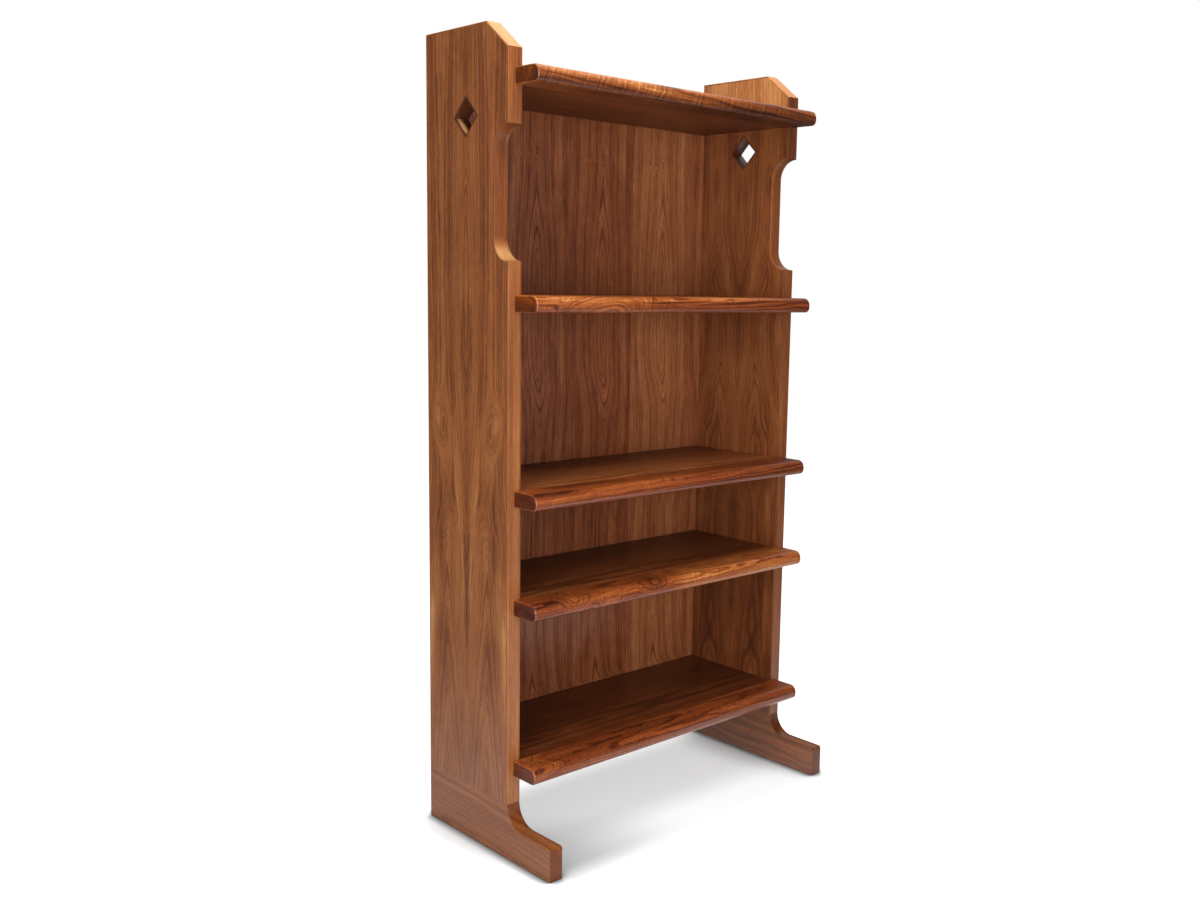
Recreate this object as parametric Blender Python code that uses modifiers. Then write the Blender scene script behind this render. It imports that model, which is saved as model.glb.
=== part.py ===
"""Free-standing walnut bookcase: two tall sides on rail feet, five fixed shelves and a thin back.

Units are metres and +Z is up. The front faces -Y, X runs along the shelves, and the origin lies on
the floor under the middle of the bounding box. Each side is a veneered panel edged with thin solid
lippings and stands on a solid foot that reaches forward. Each shelf is a veneered board held by loose
tenons, with a solid rounded nosing along its front that laps over the front edges of the sides.
"""

import math

import bmesh
import bpy

# Sides
WIDTH = 0.923  # over the outer faces of the two sides
SIDE_DEPTH = 0.308  # front edge to back edge
SIDE_THICKNESS = 0.036
SIDE_RISE = 0.099  # how far a side stands above the top shelf
CLIP_RUN = 0.077  # sloped front corner at the top, measured along the depth
CLIP_DROP = 0.059  # the same slope, measured down the front edge
LIPPING_THICKNESS = 0.004
NOTCH_DEPTH = 0.050  # scoop in the front edge, beside the top bay
NOTCH_CORNER_RADIUS = 0.050
NOTCH_ABOVE_SHELF = 0.072  # lower end of the notch above the upper shelf
NOTCH_BELOW_SHELF = 0.079  # upper end of the notch below the top shelf
DIAMOND_HALF_DIAGONAL = 0.040  # square piercing that stands on its corner
DIAMOND_BELOW_SHELF = 0.015  # its upper corner below the top shelf

# Feet
FOOT_HEIGHT = 0.127  # floor to the joint with the side
TOE_LENGTH = 0.154  # how far the foot reaches in front of the side
TOE_HEIGHT = 0.075
TOE_CORNER_RADIUS = 0.007

# Shelves, with the bays counted from the bottom
SHELF_THICKNESS = 0.036
SHELF_ABOVE_FOOT = 0.062  # underside of the bottom shelf above the joint of foot and side
FIRST_BAY_HEIGHT = 0.334
SECOND_BAY_HEIGHT = 0.207
THIRD_BAY_HEIGHT = 0.386
FOURTH_BAY_HEIGHT = 0.434
NOSING_DEPTH = 0.077
NOSING_LAP = 0.018  # how far a nosing covers the front edge of each side
NOSING_TOP_RADIUS = 0.018
NOSING_BOTTOM_RADIUS = 0.013

# Back
BACK_THICKNESS = 0.006
RABBET_WIDTH = 0.010  # how far the back reaches into each side
RABBET_HEIGHT = 0.018  # how far the back reaches into the top and the bottom shelf

# Loose tenons and splines
TENON_THICKNESS = 0.010
TENON_WIDTH = 0.050
TENON_INSET = 0.060  # middle of a tenon from the front or the back edge of its shelf
TENON_DEPTH_IN_SIDE = 0.020
TENON_DEPTH_IN_SHELF = 0.030
FOOT_TENON_THICKNESS = 0.012
FOOT_TENON_WIDTH = 0.050
FOOT_TENON_SPACING = 0.076
FOOT_TENON_DEPTH = 0.030  # into the foot, and as deep into the side
SPLINE_THICKNESS = 0.006
SPLINE_WIDTH = 0.020
SPLINE_END_MARGIN = 0.040  # end of a spline from the end of its shelf board

# Fits and eased edges
JOINT_GAP = 0.0003
MORTISE_CLEARANCE = 0.0003  # round a tenon or a spline, and past its end
ARRIS_RADIUS = 0.0015
NOSING_ARRIS_RADIUS = 0.003

# Fineness of the arcs and of the eased edges
ARC_STEPS = 10
TOE_ARC_STEPS = 4
TENON_ARC_STEPS = 4
ARRIS_STEPS = 2
SAME_POINT = 1e-6
SHARP_ANGLE = math.radians(30)
CUTTER_REACH = 0.010  # how far a cutter stands out of the wood

# Places worked out from the sizes
BACK_Y = (SIDE_DEPTH + TOE_LENGTH) / 2
FRONT_Y = BACK_Y - SIDE_DEPTH
INNER_WIDTH = WIDTH - 2 * SIDE_THICKNESS
BACK_FRONT = SIDE_DEPTH - BACK_THICKNESS  # front face of the back, from the front edge of a side

# Turns that stand an outline up, so that it is extruded along the axis named
ALONG_X = (math.pi / 2, 0.0, math.pi / 2)
ALONG_Z = (0.0, 0.0, math.pi / 2)

VENEER = ("walnut_veneer", (0.246, 0.078, 0.028), 0.42)
SOLID = ("walnut_solid", (0.292, 0.093, 0.034), 0.38)
LIPPING = ("walnut_lipping", (0.381, 0.138, 0.045), 0.40)
LOOSE = ("beech_tenon", (0.591, 0.386, 0.220), 0.60)


def shelf_levels():
    """Name and height of the top face of each shelf, from the bottom up."""
    names = ("bottom_shelf", "lower_shelf", "middle_shelf", "upper_shelf", "top_shelf")
    bays = (0.0, FIRST_BAY_HEIGHT, SECOND_BAY_HEIGHT, THIRD_BAY_HEIGHT, FOURTH_BAY_HEIGHT)
    levels = {}
    height = FOOT_HEIGHT + SHELF_ABOVE_FOOT
    for name, bay in zip(names, bays):
        height += bay + SHELF_THICKNESS
        levels[name] = height
    return levels


LEVELS = shelf_levels()
HEIGHT = LEVELS["top_shelf"] + SIDE_RISE
NOTCH_LOW = LEVELS["upper_shelf"] + NOTCH_ABOVE_SHELF
NOTCH_HIGH = LEVELS["top_shelf"] - SHELF_THICKNESS - NOTCH_BELOW_SHELF
NOTCH_RADIUS = min(NOTCH_CORNER_RADIUS, NOTCH_DEPTH, (NOTCH_HIGH - NOTCH_LOW) * 0.49)


def remove_everything():
    """Empty the file of objects and of the collections left from an earlier run."""
    for old in list(bpy.data.objects):
        bpy.data.objects.remove(old)
    for old in list(bpy.data.collections):
        bpy.data.collections.remove(old)


def new_collection(name):
    """A collection of its own under the scene."""
    made = bpy.data.collections.new(name)
    bpy.context.scene.collection.children.link(made)
    return made


def wood(finish):
    """The material of a finish given as name, colour and roughness, made on first use."""
    name, colour, roughness = finish
    made = bpy.data.materials.get(name)
    if made is None:
        made = bpy.data.materials.new(name)
        made.use_nodes = True
        shader = made.node_tree.nodes["Principled BSDF"]
        shader.inputs["Base Color"].default_value = (*colour, 1.0)
        shader.inputs["Roughness"].default_value = roughness
        shader.inputs["Metallic"].default_value = 0.0
        made.diffuse_color = (*colour, 1.0)
    return made


def arc(centre, radius, start, end, steps=ARC_STEPS):
    """Points of a circle's arc between two angles in degrees, both ends included."""
    angles = [math.radians(start + (end - start) * step / steps) for step in range(steps + 1)]
    return [(centre[0] + radius * math.cos(a), centre[1] + radius * math.sin(a)) for a in angles]


def without_repeats(outline):
    """The outline with points dropped that lie on the one before, or on the first."""
    kept = []
    for point in outline:
        if not kept or math.dist(point, kept[-1]) > SAME_POINT:
            kept.append(point)
    if math.dist(kept[0], kept[-1]) <= SAME_POINT:
        kept.pop()
    return kept


def dress(piece, finish, collection, parent):
    """Put a new object in its collection, under its parent, in its finish."""
    piece.data.materials.append(wood(finish))
    collection.objects.link(piece)
    piece.parent = parent


def prism(name, outlines, length, turn, place, finish, collection, parent=None):
    """A flat outline, with any holes, extruded evenly to both sides of its plane."""
    drawn = bpy.data.curves.new(name, "CURVE")
    drawn.dimensions = "2D"
    drawn.fill_mode = "BOTH"
    drawn.extrude = length / 2
    for outline in outlines:
        outline = without_repeats(outline)
        spline = drawn.splines.new("POLY")
        spline.points.add(len(outline) - 1)
        for point, (across, up) in zip(spline.points, outline):
            point.co = (across, up, 0.0, 1.0)
        spline.use_cyclic_u = True
    guide = bpy.data.objects.new(name + "_outline", drawn)
    bpy.context.scene.collection.objects.link(guide)
    guide.location = place
    guide.rotation_euler = turn
    bpy.context.view_layer.update()
    evaluated = guide.evaluated_get(bpy.context.evaluated_depsgraph_get())
    mesh = bpy.data.meshes.new_from_object(evaluated)
    mesh.name = name
    weld(mesh)
    piece = bpy.data.objects.new(name, mesh)
    piece.matrix_world = guide.matrix_world
    dress(piece, finish, collection, parent)
    bpy.data.objects.remove(guide)
    bpy.data.curves.remove(drawn)
    return piece


def weld(mesh):
    """Join the caps of an extruded outline to its walls, with every face pointing out."""
    work = bmesh.new()
    work.from_mesh(mesh)
    bmesh.ops.remove_doubles(work, verts=work.verts, dist=SAME_POINT * 10)
    bmesh.ops.recalc_face_normals(work, faces=work.faces)
    work.to_mesh(mesh)
    work.free()


def block(name, low, high, finish, collection, parent=None):
    """A plain box between two corners, with its origin at its middle."""
    size = [top - bottom for bottom, top in zip(low, high)]
    work = bmesh.new()
    bmesh.ops.create_cube(work, size=1.0)
    bmesh.ops.scale(work, vec=size, verts=work.verts)
    mesh = bpy.data.meshes.new(name)
    work.to_mesh(mesh)
    work.free()
    piece = bpy.data.objects.new(name, mesh)
    piece.location = [(bottom + top) / 2 for bottom, top in zip(low, high)]
    dress(piece, finish, collection, parent)
    return piece


def cut(piece, cutters):
    """Take the shape of each cutter out of a piece."""
    for cutter in cutters:
        cutter.hide_render = True
        cutter.display_type = "WIRE"
        taken = piece.modifiers.new("cut_" + cutter.name, "BOOLEAN")
        taken.operation = "DIFFERENCE"
        taken.solver = "EXACT"
        taken.object = cutter


def on_run(point, run):
    """Whether a point of the outline's plane lies on an open run of its points."""
    for start, end in zip(run, run[1:]):
        length = math.dist(start, end)
        if length > SAME_POINT and math.dist(point, start) + math.dist(point, end) - length < SAME_POINT:
            return True
    return False


def ease(piece, run, radius):
    """Round the edges where the walls that follow a run of the outline meet the two flat faces.

    Corners of the run that turn sharply are rounded as well, but not its two ends, where the
    piece meets its neighbour.
    """
    mesh = piece.data
    half = max(vertex.co.z for vertex in mesh.vertices)
    work = bmesh.new()
    work.from_mesh(mesh)
    weight = work.edges.layers.float.new("bevel_weight_edge")
    for edge in work.edges:
        if len(edge.link_faces) != 2 or edge.calc_face_angle() < SHARP_ANGLE:
            continue
        middle = (edge.verts[0].co + edge.verts[1].co) / 2
        across = abs(edge.verts[0].co.z - edge.verts[1].co.z) > half
        is_end = min(math.dist(middle[:2], run[0]), math.dist(middle[:2], run[-1])) < SAME_POINT * 10
        if on_run(middle[:2], run) and not (across and is_end):
            edge[weight] = 1.0
    work.to_mesh(mesh)
    work.free()
    rounding = piece.modifiers.new("eased_edges", "BEVEL")
    rounding.limit_method = "WEIGHT"
    rounding.width = radius
    rounding.segments = ARRIS_STEPS


def corner_points(inset):
    """Corners of a side's outline, drawn in by an inset: foot of the slope, its top, and the back top.

    The slope's line is moved along its own normal, then met with the front, the top and the back.
    """
    length = math.hypot(CLIP_RUN, CLIP_DROP)
    start = (inset * CLIP_DROP / length, HEIGHT - CLIP_DROP - inset * CLIP_RUN / length)
    slope = CLIP_DROP / CLIP_RUN
    foot = (inset, start[1] + (inset - start[0]) * slope)
    peak = (start[0] + (HEIGHT - inset - start[1]) / slope, HEIGHT - inset)
    return foot, peak, (SIDE_DEPTH - inset, HEIGHT - inset)


def notch_run(inset, start):
    """The notch's edge from its upper to its lower end, drawn into the wood by an inset.

    It begins and ends on the upright line at the depth given by start. Between them it is a level
    stretch where there is one, a quarter arc, the upright and the same again.
    """
    radius = NOTCH_RADIUS + inset
    centre = NOTCH_DEPTH - NOTCH_RADIUS
    meet = math.degrees(math.acos((start - centre) / radius)) if start > centre else 90.0
    high = (centre, NOTCH_HIGH - NOTCH_RADIUS)
    low = (centre, NOTCH_LOW + NOTCH_RADIUS)
    run = arc(high, radius, meet, 0) + arc(low, radius, 0, -meet)
    if start <= centre:
        run = [(start, high[1] + radius)] + run + [(start, low[1] - radius)]
    return run


def notch_end(depth, upper):
    """Height of the notch's edge at a small depth behind the front edge."""
    run = notch_run(0.0, depth)
    return run[0][1] if upper else run[-1][1]


def moved(point, towards, distance):
    """A point moved a distance along the line to another."""
    share = distance / math.dist(point, towards)
    return tuple(a + (b - a) * share for a, b in zip(point, towards))


def mitred_strip(outer, inner, mitred_start, mitred_end):
    """Outline of a straight lipping, its mitred ends drawn back by half the gap of the joint."""
    first, last = outer
    below, above = inner
    if mitred_start:
        first, below = moved(first, last, JOINT_GAP / 2), moved(below, above, JOINT_GAP / 2)
    if mitred_end:
        last, above = moved(last, first, JOINT_GAP / 2), moved(above, below, JOINT_GAP / 2)
    return [first, last, above, below]


def lipping_outlines():
    """Outline and exposed run of each lipping of a side."""
    thickness = LIPPING_THICKNESS
    foot, peak, back = corner_points(0.0)
    inner_foot, inner_peak, inner_back = corner_points(thickness)
    base = FOOT_HEIGHT + JOINT_GAP
    strips = {
        "front_lipping_upper": mitred_strip(
            ((0.0, notch_end(0.0, True)), foot),
            ((thickness, notch_end(thickness, True)), inner_foot), False, True
        ),
        "clip_lipping": mitred_strip((foot, peak), (inner_foot, inner_peak), True, True),
        "top_lipping": mitred_strip((peak, back), (inner_peak, inner_back), True, True),
        "back_lipping": mitred_strip(
            (back, (SIDE_DEPTH, base)), (inner_back, (SIDE_DEPTH - thickness, base)), True, False
        ),
        "front_lipping_lower": mitred_strip(
            ((0.0, base), (0.0, notch_end(0.0, False))),
            ((thickness, base), (thickness, notch_end(thickness, False))), False, False
        ),
    }
    outlines = {name: (outline, outline[:2]) for name, outline in strips.items()}
    behind = thickness + JOINT_GAP
    exposed = notch_run(0.0, behind)
    outlines["notch_lipping"] = (exposed + notch_run(thickness, behind)[::-1], exposed)
    return outlines


def panel_outline():
    """Outline of a side's veneered panel, inside its lippings and above its foot."""
    inset = LIPPING_THICKNESS + JOINT_GAP
    foot, peak, back = corner_points(inset)
    base = FOOT_HEIGHT + JOINT_GAP
    return [(inset, base), *notch_run(inset, inset)[::-1], foot, peak, back, (back[0], base)]


def foot_run():
    """Exposed edge of a foot, from the joint's front end round the toe to the joint's back end."""
    radius = min(FOOT_HEIGHT - TOE_HEIGHT, TOE_LENGTH - 2 * TOE_CORNER_RADIUS)
    curve = arc((-radius, TOE_HEIGHT + radius), radius, 0, -90)
    tip = (TOE_CORNER_RADIUS - TOE_LENGTH, TOE_HEIGHT - TOE_CORNER_RADIUS)
    toe = arc(tip, TOE_CORNER_RADIUS, 90, 180, TOE_ARC_STEPS)
    base = [(-TOE_LENGTH, 0.0), (SIDE_DEPTH, 0.0)]
    return [(0.0, FOOT_HEIGHT), *curve, *toe, *base, (SIDE_DEPTH, FOOT_HEIGHT)]


def nosing_run():
    """Exposed edge of a nosing, from the top of its back face round the front to the bottom."""
    half = SHELF_THICKNESS / 2
    upper, lower = min(NOSING_TOP_RADIUS, half), min(NOSING_BOTTOM_RADIUS, half)
    top = arc((upper - NOSING_DEPTH, half - upper), upper, 90, 180)
    bottom = arc((lower - NOSING_DEPTH, lower - half), lower, 180, 270)
    back = -JOINT_GAP
    return [(back, half), *top, *bottom, (back, -half)]


def rounded_bar(width, thickness, grown=0.0):
    """Section of a loose tenon: a bar with round edges, grown all round for its mortise."""
    radius = thickness / 2
    reach = max(width / 2 - radius, SAME_POINT * 100)
    near = arc((reach, 0.0), radius + grown, -90, 90, TENON_ARC_STEPS)
    return near + arc((-reach, 0.0), radius + grown, 90, 270, TENON_ARC_STEPS)


def diamond(half_diagonal):
    """A square that stands on its corner, in the middle of the side's depth."""
    across = SIDE_DEPTH / 2
    up = LEVELS["top_shelf"] - SHELF_THICKNESS - DIAMOND_BELOW_SHELF - DIAMOND_HALF_DIAGONAL
    reach = half_diagonal
    return [(across, up + reach), (across - reach, up), (across, up - reach), (across + reach, up)]


def tenon_rows():
    """Name and depth of the front and the back row of shelf tenons, from the front edge of a side."""
    return (("front", TENON_INSET), ("back", BACK_FRONT - TENON_INSET))


def back_panel_height():
    """Lower and upper edge of the back."""
    low = LEVELS["bottom_shelf"] - RABBET_HEIGHT + JOINT_GAP
    return low, LEVELS["top_shelf"] - SHELF_THICKNESS + RABBET_HEIGHT - JOINT_GAP


def side_joinery(hand, sign, stand, bench):
    """Cutters for one side: mortises of every shelf, of the foot, the rabbet and the piercing."""
    section = [rounded_bar(TENON_WIDTH, TENON_THICKNESS, MORTISE_CLEARANCE)]
    face = -sign * SIDE_THICKNESS / 2
    depth = TENON_DEPTH_IN_SIDE + MORTISE_CLEARANCE
    middle = face + sign * (depth - CUTTER_REACH) / 2
    mortises = [
        prism(f"{hand}_{shelf}_mortise_{row}", section, depth + CUTTER_REACH, ALONG_X,
              (middle, across, level - SHELF_THICKNESS / 2), LOOSE, bench, stand)
        for shelf, level in LEVELS.items()
        for row, across in tenon_rows()
    ]
    low, high = back_panel_height()
    inner = face - sign * CUTTER_REACH
    outer = face + sign * RABBET_WIDTH
    rabbet = block(
        f"{hand}_rabbet",
        (min(inner, outer), BACK_FRONT - JOINT_GAP, low - JOINT_GAP),
        (max(inner, outer), SIDE_DEPTH + CUTTER_REACH, high + JOINT_GAP), VENEER, bench, stand,
    )
    reach = DIAMOND_HALF_DIAGONAL + (LIPPING_THICKNESS + JOINT_GAP) * math.sqrt(2)
    piercing = prism(f"{hand}_piercing", [diamond(reach)], SIDE_THICKNESS + 2 * CUTTER_REACH, ALONG_X,
                     (0.0, 0.0, 0.0), VENEER, bench, stand)
    return mortises, rabbet, piercing


def build_foot_joint(hand, stand, parts, bench):
    """Two loose tenons between foot and side, and the cutters of their mortises."""
    bar = [rounded_bar(FOOT_TENON_WIDTH, FOOT_TENON_THICKNESS)]
    grown = [rounded_bar(FOOT_TENON_WIDTH, FOOT_TENON_THICKNESS, MORTISE_CLEARANCE)]
    length = 2 * FOOT_TENON_DEPTH
    mortises = []
    for row, sign in (("front", -1), ("back", 1)):
        place = (0.0, SIDE_DEPTH / 2 + sign * FOOT_TENON_SPACING / 2, FOOT_HEIGHT + JOINT_GAP / 2)
        prism(f"{hand}_foot_tenon_{row}", bar, length, ALONG_Z, place, LOOSE, parts, stand)
        mortises.append(prism(f"{hand}_foot_mortise_{row}", grown, length + 2 * MORTISE_CLEARANCE,
                              ALONG_Z, place, LOOSE, bench, stand))
    return mortises


def build_side(hand, sign, parts, bench):
    """One side with its lippings, the lining of its piercing, its foot and their joints."""
    stand = bpy.data.objects.new(f"{hand}_side_stand", None)
    stand.location = (sign * (WIDTH - SIDE_THICKNESS) / 2, FRONT_Y, 0.0)
    parts.objects.link(stand)
    origin = (0.0, 0.0, 0.0)
    mortises, rabbet, piercing = side_joinery(hand, sign, stand, bench)
    foot_mortises = build_foot_joint(hand, stand, parts, bench)

    panel = prism(f"{hand}_side_panel", [panel_outline()], SIDE_THICKNESS, ALONG_X, origin,
                  VENEER, parts, stand)
    cut(panel, [*mortises, *foot_mortises, rabbet, piercing])

    for name, (outline, exposed) in lipping_outlines().items():
        strip = prism(f"{hand}_{name}", [outline], SIDE_THICKNESS, ALONG_X, origin, LIPPING, parts, stand)
        ease(strip, exposed, ARRIS_RADIUS)
        if name == "back_lipping":
            cut(strip, [rabbet])

    outer = diamond(DIAMOND_HALF_DIAGONAL + LIPPING_THICKNESS * math.sqrt(2))
    prism(f"{hand}_diamond_lining", [outer, diamond(DIAMOND_HALF_DIAGONAL)], SIDE_THICKNESS, ALONG_X,
          origin, LIPPING, parts, stand)

    run = foot_run()
    foot = prism(f"{hand}_foot", [run], SIDE_THICKNESS, ALONG_X, origin, SOLID, parts, stand)
    ease(foot, run, ARRIS_RADIUS)
    cut(foot, foot_mortises)


def build_shelf_tenons(shelf, rack, parts, bench):
    """Four loose tenons of a shelf, and the cutters of the mortises in its board."""
    bar = [rounded_bar(TENON_WIDTH, TENON_THICKNESS)]
    grown = [rounded_bar(TENON_WIDTH, TENON_THICKNESS, MORTISE_CLEARANCE)]
    mortises = []
    for hand, sign in (("left", -1), ("right", 1)):
        for row, across in tenon_rows():
            face = sign * INNER_WIDTH / 2
            middle = face + sign * (TENON_DEPTH_IN_SIDE - TENON_DEPTH_IN_SHELF) / 2
            prism(f"{shelf}_tenon_{hand}_{row}", bar, TENON_DEPTH_IN_SIDE + TENON_DEPTH_IN_SHELF,
                  ALONG_X, (middle, across, 0.0), LOOSE, parts, rack)
            depth = TENON_DEPTH_IN_SHELF + MORTISE_CLEARANCE
            middle = face - sign * (depth - CUTTER_REACH) / 2
            mortises.append(prism(f"{shelf}_board_mortise_{hand}_{row}", grown, depth + CUTTER_REACH,
                                  ALONG_X, (middle, across, 0.0), LOOSE, bench, rack))
    return mortises


def build_shelf_spline(shelf, rack, parts, bench):
    """The long spline between a board and its nosing, and the cutter of its groove."""
    reach = INNER_WIDTH / 2 - SPLINE_END_MARGIN
    half_width, half_thickness = SPLINE_WIDTH / 2, SPLINE_THICKNESS / 2
    middle = -JOINT_GAP / 2
    block(f"{shelf}_spline", (-reach, middle - half_width, -half_thickness),
          (reach, middle + half_width, half_thickness), LOOSE, parts, rack)
    reach += MORTISE_CLEARANCE
    half_width += MORTISE_CLEARANCE
    half_thickness += MORTISE_CLEARANCE
    return block(f"{shelf}_groove", (-reach, middle - half_width, -half_thickness),
                 (reach, middle + half_width, half_thickness), LOOSE, bench, rack)


def build_shelf(shelf, level, parts, bench):
    """One shelf: its board, its nosing, the spline between them and its tenons."""
    rack = bpy.data.objects.new(f"{shelf}_rack", None)
    rack.location = (0.0, FRONT_Y, level - SHELF_THICKNESS / 2)
    parts.objects.link(rack)
    half, reach = SHELF_THICKNESS / 2, INNER_WIDTH / 2 - JOINT_GAP
    groove = build_shelf_spline(shelf, rack, parts, bench)
    mortises = build_shelf_tenons(shelf, rack, parts, bench)
    holds_back = {"top_shelf": (-half - CUTTER_REACH, RABBET_HEIGHT - half),
                  "bottom_shelf": (half - RABBET_HEIGHT, half + CUTTER_REACH)}
    depth = SIDE_DEPTH if shelf in holds_back else BACK_FRONT - JOINT_GAP
    board = block(f"{shelf}_board", (-reach, 0.0, -half), (reach, depth, half), VENEER, parts, rack)
    cut(board, [*mortises, groove])
    if shelf in holds_back:
        low, high = holds_back[shelf]
        across = reach + CUTTER_REACH
        cut(board, [block(f"{shelf}_rabbet", (-across, BACK_FRONT - JOINT_GAP, low),
                          (across, SIDE_DEPTH + CUTTER_REACH, high), VENEER, bench, rack)])

    run = nosing_run()
    length = INNER_WIDTH + 2 * NOSING_LAP
    nosing = prism(f"{shelf}_nosing", [run], length, ALONG_X, (0.0, 0.0, 0.0), SOLID, parts, rack)
    ease(nosing, run, NOSING_ARRIS_RADIUS)
    cut(nosing, [groove])


def build_back(parts):
    """The thin back, let into the sides and into the top and the bottom shelf."""
    reach = INNER_WIDTH / 2 + RABBET_WIDTH - JOINT_GAP
    low, high = back_panel_height()
    block("back_panel", (-reach, BACK_Y - BACK_THICKNESS, low), (reach, BACK_Y, high), VENEER, parts)


def main():
    """Build the bookcase in its own collection, and its cutters in another."""
    remove_everything()
    parts = new_collection("bookcase")
    bench = new_collection("cutters")
    for hand, sign in (("left", -1), ("right", 1)):
        build_side(hand, sign, parts, bench)
    for shelf, level in LEVELS.items():
        build_shelf(shelf, level, parts, bench)
    build_back(parts)


main()
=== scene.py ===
"""Looks of a free-standing walnut bookcase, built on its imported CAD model.

Every visible piece of wood is a surface worked out with numpy that stands for its CAD node. Each
surface carries where its points lay in the sawn stock, in millimetres, and the walnut finishes grow
their rings, streaks and pores in those stock coordinates. The loose tenons and splines, hidden in the
joints, stay as CAD nodes with a beech finish. Units are metres, +Z is up and the front faces -Y.
"""

import logging
import math
from collections.abc import Mapping, Sequence
from dataclasses import dataclass, replace
from enum import Enum

import bmesh
import bpy
import numpy as np
from mathutils import Matrix, Vector
from numpy.typing import NDArray


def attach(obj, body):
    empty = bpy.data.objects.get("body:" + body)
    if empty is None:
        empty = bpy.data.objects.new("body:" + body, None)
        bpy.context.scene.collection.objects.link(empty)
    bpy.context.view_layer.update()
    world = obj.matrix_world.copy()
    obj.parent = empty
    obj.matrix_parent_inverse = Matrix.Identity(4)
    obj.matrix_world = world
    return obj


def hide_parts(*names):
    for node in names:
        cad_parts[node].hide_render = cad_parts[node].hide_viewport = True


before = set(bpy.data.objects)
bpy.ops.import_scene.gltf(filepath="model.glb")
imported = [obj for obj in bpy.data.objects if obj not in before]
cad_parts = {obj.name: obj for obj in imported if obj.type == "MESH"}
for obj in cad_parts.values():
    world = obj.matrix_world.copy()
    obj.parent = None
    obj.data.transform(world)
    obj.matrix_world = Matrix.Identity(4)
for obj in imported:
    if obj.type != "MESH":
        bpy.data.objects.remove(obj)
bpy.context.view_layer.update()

Tree = bpy.types.NodeTree
Node = bpy.types.Node
Socket = bpy.types.NodeSocket
Material = bpy.types.Material
Points = NDArray[np.float64]
Setting = float | int | str | bool | Sequence[float]

MM = 0.001
BODY = "root"
# Points nearer to each other than this are one, in metres, and edges past this angle stay sharp.
SAME_POINT = MM / 500
SHARP_ANGLE = math.radians(40)
# Veneered edges are only broken with sandpaper: radius in metres, and steps of the rounding.
BROKEN_EDGE = 0.0004
BROKEN_STEPS = 2
# A loop of points stands this many radii in from an edge, so that the flat beside it shades flat.
RIM = 1.25
LOG = logging.getLogger("bookcase")


class Hand(Enum):
    """Which side of the bookcase, seen from the front, with its direction along X."""

    LEFT = -1
    RIGHT = 1

    @property
    def word(self) -> str:
        """The name of the hand as the CAD nodes spell it."""
        return self.name.lower()


class Cut(Enum):
    """How the wood was cut from the log, which sets the pattern of its growth rings."""

    LEAF = "sliced and book-matched veneer"
    LOG = "sawn solid wood"


@dataclass(frozen=True)
class Measures:
    """Driving sizes of the bookcase in metres, as in the CAD model.

    Attributes:
        width: Over the outer faces of the sides.
        height: Floor to the top of the sides.
        side_depth: Front edge to back edge of a side.
        board: Thickness of the sides, the shelves and the nosings.
        front: Place of the sides' front edges along Y.
        clip_run: Sloped front corner at the top, along the depth.
        clip_drop: The same slope, down the front edge.
        lipping: Thickness of the edging strips.
        notch_depth: Depth of the scoop in the front edge, and the radius of its corners.
        notch_low: Height of the scoop's lower end.
        notch_high: Height of its upper end.
        diamond_height: Height of the piercing's middle.
        diamond_reach: Half of the piercing's diagonal.
        foot_height: Floor to the joint between foot and side.
        toe_length: How far a foot reaches in front of its side.
        toe_height: Height of the toe.
        nosing_depth: How far a nosing reaches in front of the sides.
        nosing_lap: How far a nosing covers the front edge of each side.
        back: Thickness of the back.
        rabbet_width: How far the back reaches into each side.
        rabbet_height: How far the back reaches into the top and the bottom shelf.
        joint: Hairline left between two pieces that meet in sight.
    """

    width: float = 0.923
    height: float = 1.829
    side_depth: float = 0.308
    board: float = 0.036
    front: float = -0.077
    clip_run: float = 0.077
    clip_drop: float = 0.059
    lipping: float = 0.004
    notch_depth: float = 0.050
    notch_low: float = 1.332
    notch_high: float = 1.615
    diamond_height: float = 1.639
    diamond_reach: float = 0.040
    foot_height: float = 0.127
    toe_length: float = 0.154
    toe_height: float = 0.075
    nosing_depth: float = 0.077
    nosing_lap: float = 0.018
    back: float = 0.006
    rabbet_width: float = 0.010
    rabbet_height: float = 0.018
    joint: float = 0.0001

    @property
    def inner_half(self) -> float:
        """Half of the width between the sides."""
        return self.width / 2 - self.board

    @property
    def back_face(self) -> float:
        """Depth of the back's front face behind the sides' front edges."""
        return self.side_depth - self.back

    @property
    def rabbet_ends(self) -> tuple[float, float]:
        """Heights of the lower and the upper end of the rabbet that takes the back."""
        low = SHELF_TOPS["bottom_shelf"] - self.rabbet_height
        return low, SHELF_TOPS["top_shelf"] - self.board + self.rabbet_height


SHELF_TOPS = {
    "bottom_shelf": 0.225,
    "lower_shelf": 0.595,
    "middle_shelf": 0.838,
    "upper_shelf": 1.260,
    "top_shelf": 1.730,
}


def linear(hex_colour: str) -> tuple[float, float, float, float]:
    """Turn an sRGB hex colour into the linear values that a shader takes.

    Args:
        hex_colour: Colour written as #RRGGBB.

    Returns:
        Red, green and blue in linear light, and an alpha of 1.
    """
    channels = np.array([int(hex_colour[i : i + 2], 16) for i in (1, 3, 5)]) / 255
    low = channels / 12.92
    high = ((channels + 0.055) / 1.055) ** 2.4
    red, green, blue = np.where(channels <= 0.04045, low, high)
    return (float(red), float(green), float(blue), 1.0)


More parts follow.
